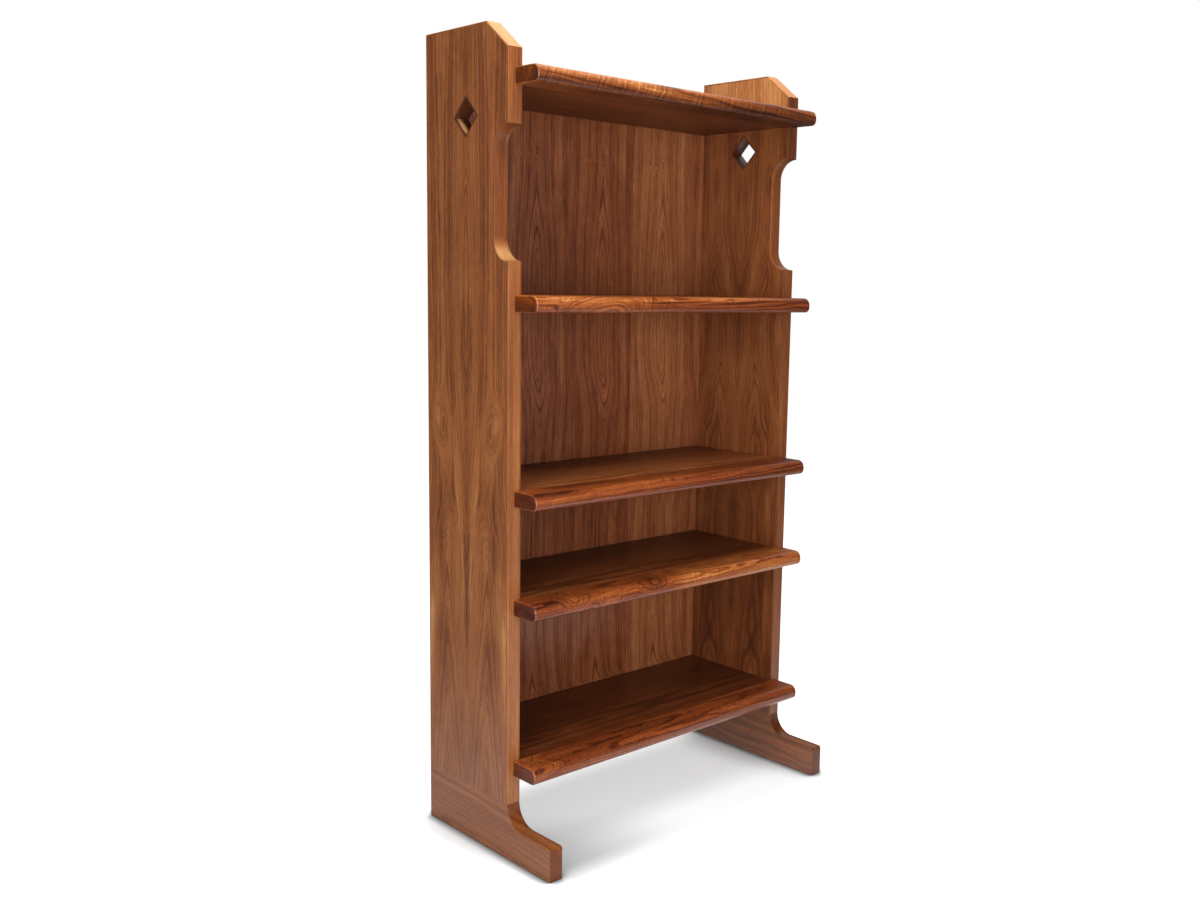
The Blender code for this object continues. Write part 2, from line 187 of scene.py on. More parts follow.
def add_node(
    tree: Tree, kind: str, inputs: Mapping[str | int, object] | Sequence[object] = (), **settings: Setting
) -> Node:
    """Add a node with its settings, its input values and its links.

    Args:
        tree: Node tree that takes the node.
        kind: Blender's name of the node type.
        inputs: A value, an output socket or a whole node for each input, in order or by name.
        settings: Values of the node's own properties.

    Returns:
        The new node.
    """
    node = tree.nodes.new(kind)
    for name, value in settings.items():
        setattr(node, name, value)
    for name, value in (inputs if isinstance(inputs, Mapping) else dict(enumerate(inputs))).items():
        if isinstance(value, Node):
            value = value.outputs[0]
        if isinstance(value, Socket):
            tree.links.new(value, node.inputs[name])
        else:
            node.inputs[name].default_value = value
    return node


def blank_material(name: str) -> tuple[Material, Node]:
    """Start a material from its bare output node.

    Args:
        name: Name of the material.

    Returns:
        The material and its output node.
    """
    material = bpy.data.materials.new(name)
    material.use_nodes = True
    material.node_tree.nodes.clear()
    return material, add_node(material.node_tree, "ShaderNodeOutputMaterial")


class Match(Enum):
    """How neighbouring veneer leaves lie beside each other."""

    BOOK = "each leaf mirrors the one before"
    SLIP = "each leaf repeats the one before"


class Follow(Enum):
    """What the streaks of a layer run along."""

    GRAIN = "the fibres"
    RINGS = "the growth rings, as soft bands"
    LINES = "the growth rings, as thin dark lines with uneven gaps"
    CURL = "slanting over the fibres, as the ripple of curly wood"


@dataclass(frozen=True)
class Layer:
    """One layer of streaks, bands, lines or mottling in wood.

    Attributes:
        weight: How far the layer moves the tone.
        size: Size of a streak in millimetres, along, across and through the stock. A layer on
            the rings uses the second number alone, measured across the rings. For a ripple they
            are its spacings in the three directions, and their signs give its slant.
        follow: What the streaks run along.
        detail: Number of finer repeats.
        rough: Strength of each finer repeat.
    """

    weight: float
    size: tuple[float, float, float]
    follow: Follow = Follow.GRAIN
    detail: float = 2.0
    rough: float = 0.5


@dataclass(frozen=True)
class Figure:
    """A swelling of the growth rings, such as an eye, a spindle or a flame, with its own tone.

    Attributes:
        along: Middle of the figure along the stock, in millimetres.
        across: Middle of the figure across the stock, in millimetres.
        half_along: Half length in millimetres.
        half_across: Half width in millimetres.
        rise: How far the rings are pushed out at the middle, in millimetres.
        tone: How much lighter the wood is at the middle, or darker below zero.
        lean: How far across the figure's middle line moves for each millimetre along.
        core: Share of the half sizes over which the figure is even, before it fades.
    """

    along: float
    across: float
    half_along: float
    half_across: float
    rise: float = 0.0
    tone: float = 0.0
    lean: float = 0.0
    core: float = 0.25


@dataclass(frozen=True)
class Pores:
    """Open vessels of walnut, which show as short dark dashes along the grain.

    A vessel is about 0.2 mm wide and 5 mm long. It is drawn about three times as coarse, so that it
    shows.

    Attributes:
        size: Length, width and depth of a dash in millimetres.
        onset: Noise at which a dash begins, and at which it is full.
        shade: Share of the light that a full dash takes away.
        roughness: How much rougher it is than the varnish.
    """

    size: tuple[float, float, float] = (12.0, 0.7, 0.7)
    onset: tuple[float, float] = (0.58, 0.70)
    shade: float = 0.45
    roughness: float = 0.12


@dataclass(frozen=True)
class Walnut:
    """American black walnut, planed, sanded and satin varnished: warm brown with a soft sheen.

    The rings are level lines of a distance from the log's heart, so a flat cut through them shows
    arches, ovals and straight streaks as the real wood does. Tone is the middle value plus every
    layer's noise, and a ramp turns it into colour.

    Attributes:
        name: Name of the material.
        cut: Leaf or log.
        ramp: Places from 0 to 1 and sRGB hex colours, from the darkest latewood to pale sapwood.
        layers: Streaks and mottling.
        warp: How far the grain wanders along and across, in millimetres.
        warp_size: Length and width of a bend in the grain, in millimetres.
        match: How neighbouring leaves lie.
        leaf_width: Width of a veneer leaf in millimetres.
        leaf_gap: How far apart two neighbouring leaves lay in the log, in millimetres.
        heart: Pairs of place along the stock and place of the heart line across it.
        depth: Pairs of place along the stock and depth of the heart line in it.
        sharpness: Power of the distance law: 2 gives round arches, nearer 1 gives pointed flames.
        figures: Eyes, spindles and patches, among them patches of painted shade and painted highlight.
        leaf_tones: How much lighter each leaf is than the middle tone, from the first leaf on.
        roughness: Roughness of the varnish.
        streak_roughness: What the finest streaks add to it, from the darkest to the palest.
        gloss: Specular level.
        ior: Index of refraction of the varnish.
        end_tone: How much darker end grain is.
        end_vivid: How much more saturated it is, since it drinks the varnish.
        end_roughness: How much rougher it is.
        edge_wear_and_painted_light: Lighter eased edges, rubbed wear and painted highlight; darker below
            zero, painted shade.
        edge_roughness: How much rougher they are, or smoother below zero.
        edge_gloss: How much glossier they are than the flats, as specular level.
        line_width: Half width of a ring line, as a difference of the noise.
        relief: Strength of the bump.
        relief_depth: Depth of the pores and streaks in millimetres.
        pores: The open vessels.
    """

    name: str
    cut: Cut
    ramp: tuple[tuple[float, str], ...]
    layers: tuple[Layer, ...]
    warp: tuple[float, float] = (20.0, 5.0)
    warp_size: tuple[float, float] = (190.0, 60.0)
    match: Match = Match.BOOK
    leaf_width: float = 154.0
    leaf_gap: float = 1.0
    heart: tuple[tuple[float, float], ...] = ((0.0, 0.0), (1900.0, 0.0))
    depth: tuple[tuple[float, float], ...] = ((0.0, 0.0), (1900.0, 0.0))
    sharpness: float = 2.0
    figures: tuple[Figure, ...] = ()
    leaf_tones: tuple[float, ...] = (0.0,)
    roughness: float = 0.38
    streak_roughness: tuple[float, float] = (-0.05, 0.07)
    gloss: float = 0.5
    ior: float = 1.5
    end_tone: float = 0.22
    end_vivid: float = 0.12
    end_roughness: float = 0.15
    edge_wear_and_painted_light: float = 0.08
    edge_roughness: float = -0.09
    edge_gloss: float = 0.0
    line_width: float = 0.045
    relief: float = 0.25
    relief_depth: float = 0.05
    pores: Pores = Pores()

    def material(self) -> Material:
        """Build the finish.

        Returns:
            The material, which reads the attributes stock, end_grain, arris and timber of a piece.
        """
        material, output = blank_material(self.name)
        tree = material.node_tree
        bent = self._bend(tree)
        rings, tone = self._figures(tree, bent, self._rings(tree, bent))
        tone, fibres = self._layers(tree, bent, rings, tone)
        self._shade(tree, output, bent, tone, fibres)
        return material

    def _bend(self, tree: Tree) -> Node:
        """Let the grain wander: add slow noise to the place in the stock, mirrored leaf by leaf.

        Args:
            tree: Node tree.

        Returns:
            A node whose first output is the bent place: along, across, through.
        """
        place = add_node(tree, "ShaderNodeAttribute", attribute_name="stock").outputs["Vector"]
        if self.cut is Cut.LEAF:
            parts = add_node(tree, "ShaderNodeSeparateXYZ", (place,))
            fold = "PINGPONG" if self.match is Match.BOOK else "FLOORED_MODULO"
            folded = add_node(tree, "ShaderNodeMath", (parts.outputs[1], self.leaf_width), operation=fold)
            leaf = add_node(tree, "ShaderNodeMath", (parts.outputs[1], self.leaf_width), operation="DIVIDE")
            leaf = add_node(tree, "ShaderNodeMath", (leaf,), operation="FLOOR")
            depth = add_node(
                tree, "ShaderNodeMath", (leaf, self.leaf_gap, parts.outputs[2]), operation="MULTIPLY_ADD"
            )
            place = add_node(tree, "ShaderNodeCombineXYZ", (parts.outputs[0], folded, depth))
        scale = (1 / self.warp_size[0], 1 / self.warp_size[1], 1 / self.warp_size[1])
        shrunk = add_node(tree, "ShaderNodeVectorMath", (place, scale), operation="MULTIPLY")
        noise = add_node(
            tree, "ShaderNodeTexNoise", {"Vector": shrunk, "Scale": 1.0, "Detail": 3.0, "Roughness": 0.5}
        )
        centred = add_node(
            tree, "ShaderNodeVectorMath", (noise.outputs["Color"], (0.5, 0.5, 0.5)), operation="SUBTRACT"
        )
        reach = (2 * self.warp[0], 2 * self.warp[1], 2 * self.warp[1])
        return add_node(tree, "ShaderNodeVectorMath", (centred, reach, place), operation="MULTIPLY_ADD")

    def _curve(self, tree: Tree, along: Socket, pairs: tuple[tuple[float, float], ...]) -> Node | float:
        """A smooth curve through pairs of place along the stock and value, both in millimetres.

        Args:
            tree: Node tree.
            along: Place along the stock.
            pairs: Points of the curve.

        Returns:
            A node whose output is the value in millimetres, or the value itself where it is even.
        """
        length = pairs[-1][0]
        low = min(value for _, value in pairs)
        span = max(value for _, value in pairs) - low
        if not span:
            return low
        share = add_node(tree, "ShaderNodeMath", (along, length), operation="DIVIDE")
        curve = add_node(tree, "ShaderNodeFloatCurve", {"Value": share})
        points = curve.mapping.curves[0].points
        while len(points) < len(pairs):
            points.new(0.5, 0.5)
        for point, (place, value) in zip(points, pairs):
            point.location = (place / length, (value - low) / span)
        curve.mapping.update()
        return add_node(tree, "ShaderNodeMath", (curve, span, low), operation="MULTIPLY_ADD")

    def _rings(self, tree: Tree, bent: Node) -> Node:
        """Distance from the log's heart, whose level lines are the growth rings.

        With a the distance across from the heart line and b the depth of the cut below it, the law
        is (|a|^p + |b|^p)^(1/p). A leaf's depth is given along it, and a log's is measured through.

        Args:
            tree: Node tree.
            bent: Node that gives the bent place in the stock.

        Returns:
            A node whose output is the ring distance in millimetres.
        """
        parts = add_node(tree, "ShaderNodeSeparateXYZ", (bent,))
        heart = self._curve(tree, parts.outputs[0], self.heart)
        across = add_node(tree, "ShaderNodeMath", (parts.outputs[1], heart), operation="SUBTRACT")
        through = self._curve(tree, parts.outputs[0], self.depth)
        if self.cut is Cut.LOG:
            through = add_node(tree, "ShaderNodeMath", (parts.outputs[2], through), operation="SUBTRACT")
        powers = []
        for side in (across, through):
            size = add_node(tree, "ShaderNodeMath", (side,), operation="ABSOLUTE")
            powers.append(add_node(tree, "ShaderNodeMath", (size, self.sharpness), operation="POWER"))
        total = add_node(tree, "ShaderNodeMath", powers, operation="ADD")
        return add_node(tree, "ShaderNodeMath", (total, 1 / self.sharpness), operation="POWER")

    def _figures(self, tree: Tree, bent: Node, rings: Node) -> tuple[Node, Node]:
        """Push the rings out, and shift the tone, over each figure's oval.

        Args:
            tree: Node tree.
            bent: Node that gives the bent place in the stock.
            rings: Node that gives the ring distance.

        Returns:
            The ring distance and the tone after every figure.
        """
        # The piece's own tone, partly painted shade and painted sheen.
        tone_and_painted_light = add_node(tree, "ShaderNodeAttribute", attribute_name="tone_and_painted_light").outputs["Fac"]
        middle = 0.5 - sum(layer.weight for layer in self.layers if layer.follow is not Follow.LINES) / 2
        tone = add_node(tree, "ShaderNodeMath", (tone_and_painted_light, middle), operation="ADD")
        if any(self.leaf_tones):
            tone = self._leaf_tones(tree, tone)
        for figure in self.figures:
            lengthways = np.array([1.0, 0.0, 0.0]) / figure.half_along
            crossways = np.array([-figure.lean, 1.0, 0.0]) / figure.half_across
            centre = np.array([figure.along, figure.across, 0.0])
            parts = []
            for way in (lengthways, crossways):
                dot = add_node(tree, "ShaderNodeVectorMath", (bent, way.tolist()), operation="DOT_PRODUCT")
                parts.append(dot.outputs["Value"])
            oval = add_node(tree, "ShaderNodeCombineXYZ", parts)
            middle_point = (float(centre @ lengthways), float(centre @ crossways), 0.0)
            away = add_node(tree, "ShaderNodeVectorMath", (oval, middle_point), operation="DISTANCE")
            swell = add_node(
                tree,
                "ShaderNodeMapRange",
                {"Value": away.outputs["Value"], "From Min": figure.core, "To Min": 1.0, "To Max": 0.0},
                interpolation_type="SMOOTHSTEP",
            )
            if figure.rise:
                rings = add_node(
                    tree, "ShaderNodeMath", (swell, figure.rise, rings), operation="MULTIPLY_ADD"
                )
            if figure.tone:
                tone = add_node(
                    tree, "ShaderNodeMath", (swell, figure.tone, tone), operation="MULTIPLY_ADD"
                )
        return rings, tone

    def _leaf_tones(self, tree: Tree, tone: Node) -> Node:
        """Give each veneer leaf its own tone, with a ramp that steps at the seams.

        Args:
            tree: Node tree.
            tone: Tone so far.

        Returns:
            A node whose output is the new tone.
        """
        count = len(self.leaf_tones)
        place = add_node(tree, "ShaderNodeAttribute", attribute_name="stock").outputs["Vector"]
        across = add_node(tree, "ShaderNodeSeparateXYZ", (place,)).outputs[1]
        share = add_node(tree, "ShaderNodeMath", (across, self.leaf_width * count), operation="DIVIDE")
        steps = add_node(tree, "ShaderNodeValToRGB", {"Fac": share})
        steps.color_ramp.interpolation = "CONSTANT"
        stops = steps.color_ramp.elements
        while len(stops) < count:
            stops.new(0.5)
        for number, (stop, lighter) in enumerate(zip(stops, self.leaf_tones)):
            stop.position = number / count
            stop.color = (0.5 + lighter, 0.5 + lighter, 0.5 + lighter, 1.0)
        centred = add_node(tree, "ShaderNodeMath", (steps, 0.5), operation="SUBTRACT")
        return add_node(tree, "ShaderNodeMath", (centred, tone), operation="ADD")

    def _layers(self, tree: Tree, bent: Node, rings: Node, tone: Node) -> tuple[Node, Node]:
        """Add every layer's noise to the tone.

        A line is drawn where the noise passes its middle value, so that the gaps are uneven.

        Args:
            tree: Node tree.
            bent: Node that gives the bent place in the stock.
            rings: Node that gives the ring distance.
            tone: Tone so far.

        Returns:
            The tone, and the last layer's noise, which is the finest.
        """
        noise = tone
        for layer in self.layers:
            look = {"Scale": 1.0, "Detail": layer.detail, "Roughness": layer.rough}
            scale = tuple(1 / size for size in layer.size)
            if layer.follow is Follow.GRAIN:
                place = add_node(tree, "ShaderNodeVectorMath", (bent, scale), operation="MULTIPLY")
                noise = add_node(tree, "ShaderNodeTexNoise", {"Vector": place, **look})
            else:
                if layer.follow is Follow.CURL:
                    place = add_node(tree, "ShaderNodeVectorMath", (bent, scale), operation="DOT_PRODUCT")
                    place = place.outputs["Value"]
                else:
                    place = add_node(tree, "ShaderNodeMath", (rings, layer.size[1]), operation="DIVIDE")
                noise = add_node(tree, "ShaderNodeTexNoise", {"W": place, **look}, noise_dimensions="1D")
            if layer.follow is Follow.LINES:
                away = add_node(tree, "ShaderNodeMath", (noise, 0.5), operation="SUBTRACT")
                away = add_node(tree, "ShaderNodeMath", (away,), operation="ABSOLUTE")
                noise = add_node(
                    tree,
                    "ShaderNodeMapRange",
                    {"Value": away, "From Max": self.line_width, "To Min": 1.0, "To Max": 0.0},
                )
            tone = add_node(tree, "ShaderNodeMath", (noise, layer.weight, tone), operation="MULTIPLY_ADD")
        return tone, noise

    def _shade(self, tree: Tree, output: Node, bent: Node, tone: Node, fibres: Node) -> None:
        """Colour the wood, darken end grain, lighten arrises as wear and painted highlight, cut the pores.

        Args:
            tree: Node tree.
            output: Output node of the material.
            bent: Node that gives the bent place in the stock.
            tone: Node that gives the tone.
            fibres: Node that gives the finest streaks.
        """
        end = add_node(tree, "ShaderNodeAttribute", attribute_name="end_grain").outputs["Fac"]
        worn = add_node(tree, "ShaderNodeAttribute", attribute_name="arris").outputs["Fac"]
        # Eased edges are lighter as rubbed wear and a painted highlight; below zero, a painted shade.
        for where, lighter in ((end, -self.end_tone), (worn, self.edge_wear_and_painted_light)):
            tone = add_node(tree, "ShaderNodeMath", (where, lighter, tone), operation="MULTIPLY_ADD")
        colour = add_node(tree, "ShaderNodeValToRGB", {"Fac": tone})
        stops = colour.color_ramp.elements
        while len(stops) < len(self.ramp):
            stops.new(0.5)
        for stop, (place, shade) in zip(stops, self.ramp):
            stop.position = place
            stop.color = linear(shade)
        scale = tuple(1 / size for size in self.pores.size)
        place = add_node(tree, "ShaderNodeVectorMath", (bent, scale), operation="MULTIPLY")
        vessels = add_node(tree, "ShaderNodeTexNoise", {"Vector": place, "Scale": 1.0, "Detail": 1.0})
        onset = {"From Min": self.pores.onset[0], "From Max": self.pores.onset[1]}
        pores = add_node(tree, "ShaderNodeMapRange", {"Value": vessels, **onset})
        dim = add_node(tree, "ShaderNodeMath", (pores, -self.pores.shade, 1.0), operation="MULTIPLY_ADD")
        wood = add_node(
            tree, "ShaderNodeVectorMath", {0: colour.outputs["Color"], "Scale": dim}, operation="SCALE"
        )
        vivid = add_node(tree, "ShaderNodeMath", (end, self.end_vivid, 1.0), operation="MULTIPLY_ADD")
        wood = add_node(tree, "ShaderNodeHueSaturation", {"Saturation": vivid, "Color": wood})
        low, high = (self.roughness + more for more in self.streak_roughness)
        rough = add_node(
            tree,
            "ShaderNodeMapRange",
            {"Value": fibres, "From Min": 0.3, "From Max": 0.7, "To Min": low, "To Max": high},
        )
        for where, more in (
            (pores, self.pores.roughness), (end, self.end_roughness), (worn, self.edge_roughness),
        ):
            rough = add_node(tree, "ShaderNodeMath", (where, more, rough), operation="MULTIPLY_ADD")
        gloss = self.gloss
        if self.edge_gloss:
            gloss = add_node(
                tree, "ShaderNodeMath", (worn, self.edge_gloss, gloss), operation="MULTIPLY_ADD"
            )
        height = add_node(tree, "ShaderNodeMath", (pores, -1.0, fibres), operation="MULTIPLY_ADD")
        bump = add_node(
            tree,
            "ShaderNodeBump",
            {"Strength": self.relief, "Distance": self.relief_depth * MM, "Height": height},
        )
        looks = {"Roughness": rough, "Normal": bump, "IOR": self.ior, "Specular IOR Level": gloss}
        shader = add_node(tree, "ShaderNodeBsdfPrincipled", {"Base Color": wood, **looks})
        tree.links.new(shader.outputs["BSDF"], output.inputs["Surface"])


def figures(*rows: tuple[float, ...]) -> tuple[Figure, ...]:
    """Figures from rows of along, across, half_along, half_across, rise, tone, lean and core."""
    return tuple(Figure(*row) for row in rows)


RAMP = ((0.0, "#4B2410"), (0.25, "#703B1C"), (0.5, "#91542C"), (0.75, "#A96B3C"), (1.0, "#C68C54"))
# How far apart the pieces of neighbouring shelves were cut, in millimetres: the boards along and across
# their log, and the nosings along theirs.
BOARD_STEP = (1300.0, 35.0)
NOSING_STEP = 1700.0

# Warm mid-brown veneer: broad bands and thin lines of the rings under long fine streaks.
STREAKS = (
    Layer(0.40, (1.0, 22.0, 1.0), Follow.RINGS, 3.0, 0.6),
    Layer(-0.20, (1.0, 14.0, 1.0), Follow.LINES, 2.0, 0.6),
    Layer(-0.22, (1.0, 6.0, 1.0), Follow.LINES, 1.0, 0.5),
    Layer(0.38, (130.0, 40.0, 40.0)),
    Layer(0.36, (150.0, 7.0, 7.0), Follow.GRAIN, 3.0, 0.6),
    Layer(0.22, (30.0, 12.0, 12.0), Follow.GRAIN, 3.0, 0.65),
    Layer(0.60, (48.0, 1.5, 1.5), Follow.GRAIN, 3.0, 0.65),
)

# Book-matched crown-cut veneer, sliced and varnished: nested arches and eyes, dark in the middle of
# the side, with pale spindles on both sides of the seam.
OUTER_LEAF = Walnut(
    name="walnut_leaf_outer",
    cut=Cut.LEAF,
    ramp=RAMP,
    layers=STREAKS,
    warp=(24.0, 5.0),
    warp_size=(120.0, 45.0),
    sharpness=1.25,
    heart=((0.0, 96.0), (700.0, 90.0), (950.0, 80.0), (1700.0, 76.0)),
    depth=((0.0, 100.0), (800.0, 104.0), (960.0, 94.0), (1300.0, 60.0), (1500.0, 36.0), (1700.0, 10.0)),
    figures=figures(
        (120.0, 112.0, 100.0, 15.0, 0.0, -0.08),
        (560.0, 0.0, 340.0, 52.0, 44.0, 0.07),
        (700.0, 0.0, 180.0, 31.0, 0.0, -0.2),
        (510.0, 0.0, 280.0, 19.0, 0.0, -0.16),
        (590.0, 0.0, 210.0, 8.0, 0.0, 0.18),
        (857.0, 108.0, 88.0, 56.0, -34.0, -0.02),
        (852.0, 110.0, 28.0, 15.0, 0.0, 0.14),
        (1000.0, 34.0, 190.0, 17.0, 0.0, 0.24, -0.05),
        (1150.0, 16.0, 230.0, 9.0, 0.0, 0.2, -0.03),
        (1200.0, 0.0, 430.0, 15.0, 0.0, -0.12),
        (1045.0, 84.0, 120.0, 50.0, 12.0, -0.14, 0.12),
        (1150.0, 80.0, 900.0, 500.0, 0.0, 0.09, 0.0, 0.3),
        (1140.0, 72.0, 90.0, 14.0, 0.0, 0.16),
        (1150.0, 104.0, 90.0, 14.0, 0.0, -0.16),
        (1330.0, 154.0, 260.0, 27.0, 0.0, 0.34, -0.03),
        (1310.0, 134.0, 60.0, 24.0, 0.0, 0.14),
        (1420.0, 92.0, 150.0, 42.0, 0.0, -0.14),
    ),
)
# The same veneer from another log: flames under the piercing and beside the bays.
INNER_LEAF = replace(
    OUTER_LEAF,
    name="walnut_leaf_inner",
    heart=((0.0, 96.0), (500.0, 95.0), (650.0, 60.0), (1000.0, 76.0), (1700.0, 80.0)),
    depth=(
        (0.0, 90.0), (380.0, 92.0), (560.0, 66.0), (650.0, 84.0), (1000.0, 40.0),
        (1150.0, 66.0), (1400.0, 52.0), (1700.0, 12.0),
    ),
    figures=figures(
        # Painted light: the face above the top shelf is paler, where the light from above falls on it.
        (20.0, 60.0, 125.0, 240.0, 0.0, 0.38, 0.0, 0.6),
        (370.0, 16.0, 200.0, 9.0, 0.0, -0.1),
        (370.0, 36.0, 200.0, 10.0, 0.0, 0.06),
        (268.0, 98.0, 60.0, 24.0, -10.0, -0.06),
        (650.0, 150.0, 95.0, 20.0, 0.0, 0.2),
        (905.0, 84.0, 90.0, 44.0, 12.0, -0.1, 0.0, 0.0),
        (1130.0, 122.0, 70.0, 12.0, 0.0, 0.14),
        (1420.0, 126.0, 160.0, 12.0, 0.0, 0.18),
        (1530.0, 80.0, 80.0, 36.0, 12.0, -0.08, 0.0, 0.0),
        (1500.0, 80.0, 500.0, 400.0, 0.0, -0.16, 0.0, 0.3),
    ),
)
# Slip-matched veneer: one pointed arch, repeated from leaf to leaf, in five slightly different tones.
BACK_LEAF = Walnut(
    name="walnut_leaf_back",
    cut=Cut.LEAF,
    ramp=((0.0, "#482110"), (0.25, "#71381C"), (0.5, "#95522E"), (0.75, "#AF6E43"), (1.0, "#CB935E")),
    layers=(
        Layer(0.42, (1.0, 18.0, 1.0), Follow.RINGS, 3.0, 0.6),
        Layer(-0.16, (1.0, 10.0, 1.0), Follow.LINES, 2.0, 0.6),
        Layer(-0.27, (1.0, 5.0, 1.0), Follow.LINES, 1.0, 0.5),
        *STREAKS[3:-1],
        Layer(0.80, (44.0, 2.0, 2.0), Follow.GRAIN, 3.0, 0.65),
    ),
    match=Match.SLIP,
    leaf_width=213.0,
    leaf_gap=14.0,
    sharpness=1.6,
    warp=(26.0, 5.0),
    heart=((0.0, 111.0), (300.0, 110.0), (600.0, 112.0), (740.0, 124.0), (1100.0, 96.0), (1469.0, 114.0)),
    depth=(
        (0.0, 33.0), (130.0, 32.0), (300.0, 17.0), (450.0, 8.0), (560.0, 9.0), (700.0, 26.0),
        (780.0, 36.0), (950.0, 40.0), (1250.0, 37.0), (1469.0, 20.0),
    ),
    figures=figures(
        (96.0, 108.0, 26.0, 12.0, -14.0, 0.04),
        (98.0, 70.0, 7.0, 60.0, 5.0, 0.04),
        (1072.0, 106.0, 12.0, 6.0, -8.0, -0.16),
    ),
    leaf_tones=(0.04, 0.02, 0.01, 0.19, 0.12),
)
# Solid walnut with straight grain, planed and varnished: long even streaks, deep brown.
BOARD = Walnut(
    name="walnut_board",
    cut=Cut.LOG,
    ramp=((0.0, "#3E1B07"), (0.25, "#653013"), (0.5, "#884923"), (0.75, "#A26335"), (1.0, "#BF834D")),
    layers=STREAKS,
    warp=(30.0, 7.0),
    warp_size=(420.0, 90.0),
    # Painted shade: each board is darker toward its back, where the shelf above shades it. The rows
    # run from the bottom shelf up, and each figure lies over the rear half of its board.
    figures=figures(
        *(
            (BOARD_STEP[0] * number, 198.0 + BOARD_STEP[1] * number, 900.0, 210.0, 0.0, tone, 0.0, 0.2)
            for number, tone in ((1, -0.06), (2, -0.54), (3, -0.46), (4, -0.34))
        )
    ),
)
# Solid walnut of the feet, planed and varnished: level grain with wavy lines a few millimetres apart.
RAIL = Walnut(
    name="walnut_rail",
    cut=Cut.LOG,
    ramp=RAMP,
    layers=(
        Layer(0.44, (1.0, 10.0, 1.0), Follow.RINGS, 3.0, 0.6),
        Layer(-0.24, (1.0, 5.0, 1.0), Follow.LINES, 2.0, 0.6),
        Layer(0.20, (260.0, 45.0, 45.0)),
        Layer(0.22, (160.0, 3.2, 3.2), Follow.GRAIN, 3.0, 0.55),
        Layer(0.48, (60.0, 1.4, 1.4), Follow.GRAIN, 2.0, 0.6),
    ),
    warp=(30.0, 10.0),
    warp_size=(210.0, 60.0),
)
# Thin solid edging, planed and varnished: paler and plainer than the veneers beside it. Its figure is
# a painted highlight on the left scoop's lower curve, which faces up toward the light.
EDGING = Walnut(
    name="walnut_edging",
    cut=Cut.LOG,
    ramp=((0.0, "#502611"), (0.25, "#773F1E"), (0.5, "#98592E"), (0.75, "#B37643"), (1.0, "#D09C64")),
    layers=(
        Layer(0.45, (1.0, 16.0, 1.0), Follow.RINGS, 3.0, 0.6),
        Layer(-0.12, (1.0, 7.0, 1.0), Follow.LINES, 2.0, 0.6),
        Layer(0.26, (260.0, 45.0, 45.0)),
        Layer(0.50, (260.0, 3.2, 3.2), Follow.GRAIN, 3.0, 0.55),
        Layer(0.50, (60.0, 1.4, 1.4), Follow.GRAIN, 2.0, 0.6),
    ),
    warp=(20.0, 3.0),
    warp_size=(240.0, 50.0),
    figures=figures((705.0, 60.0, 52.0, 60.0, 0.0, 0.60, 0.0, 0.2)),
    edge_gloss=-0.35,
)
# The same edging with more varnish. Its eased rims are darker, a painted shade round the hole, and its
# figure is a painted highlight: the pale streak on the lower front face of the left piercing.
LINING = replace(
    EDGING,
    name="walnut_lining",
    figures=figures((5448.0, 352.0, 60.0, 10.5, 0.0, 1.00, 0.0, 0.4)),
    roughness=0.30,
    gloss=0.9,
    edge_wear_and_painted_light=-0.20,
    edge_gloss=0.0,
)


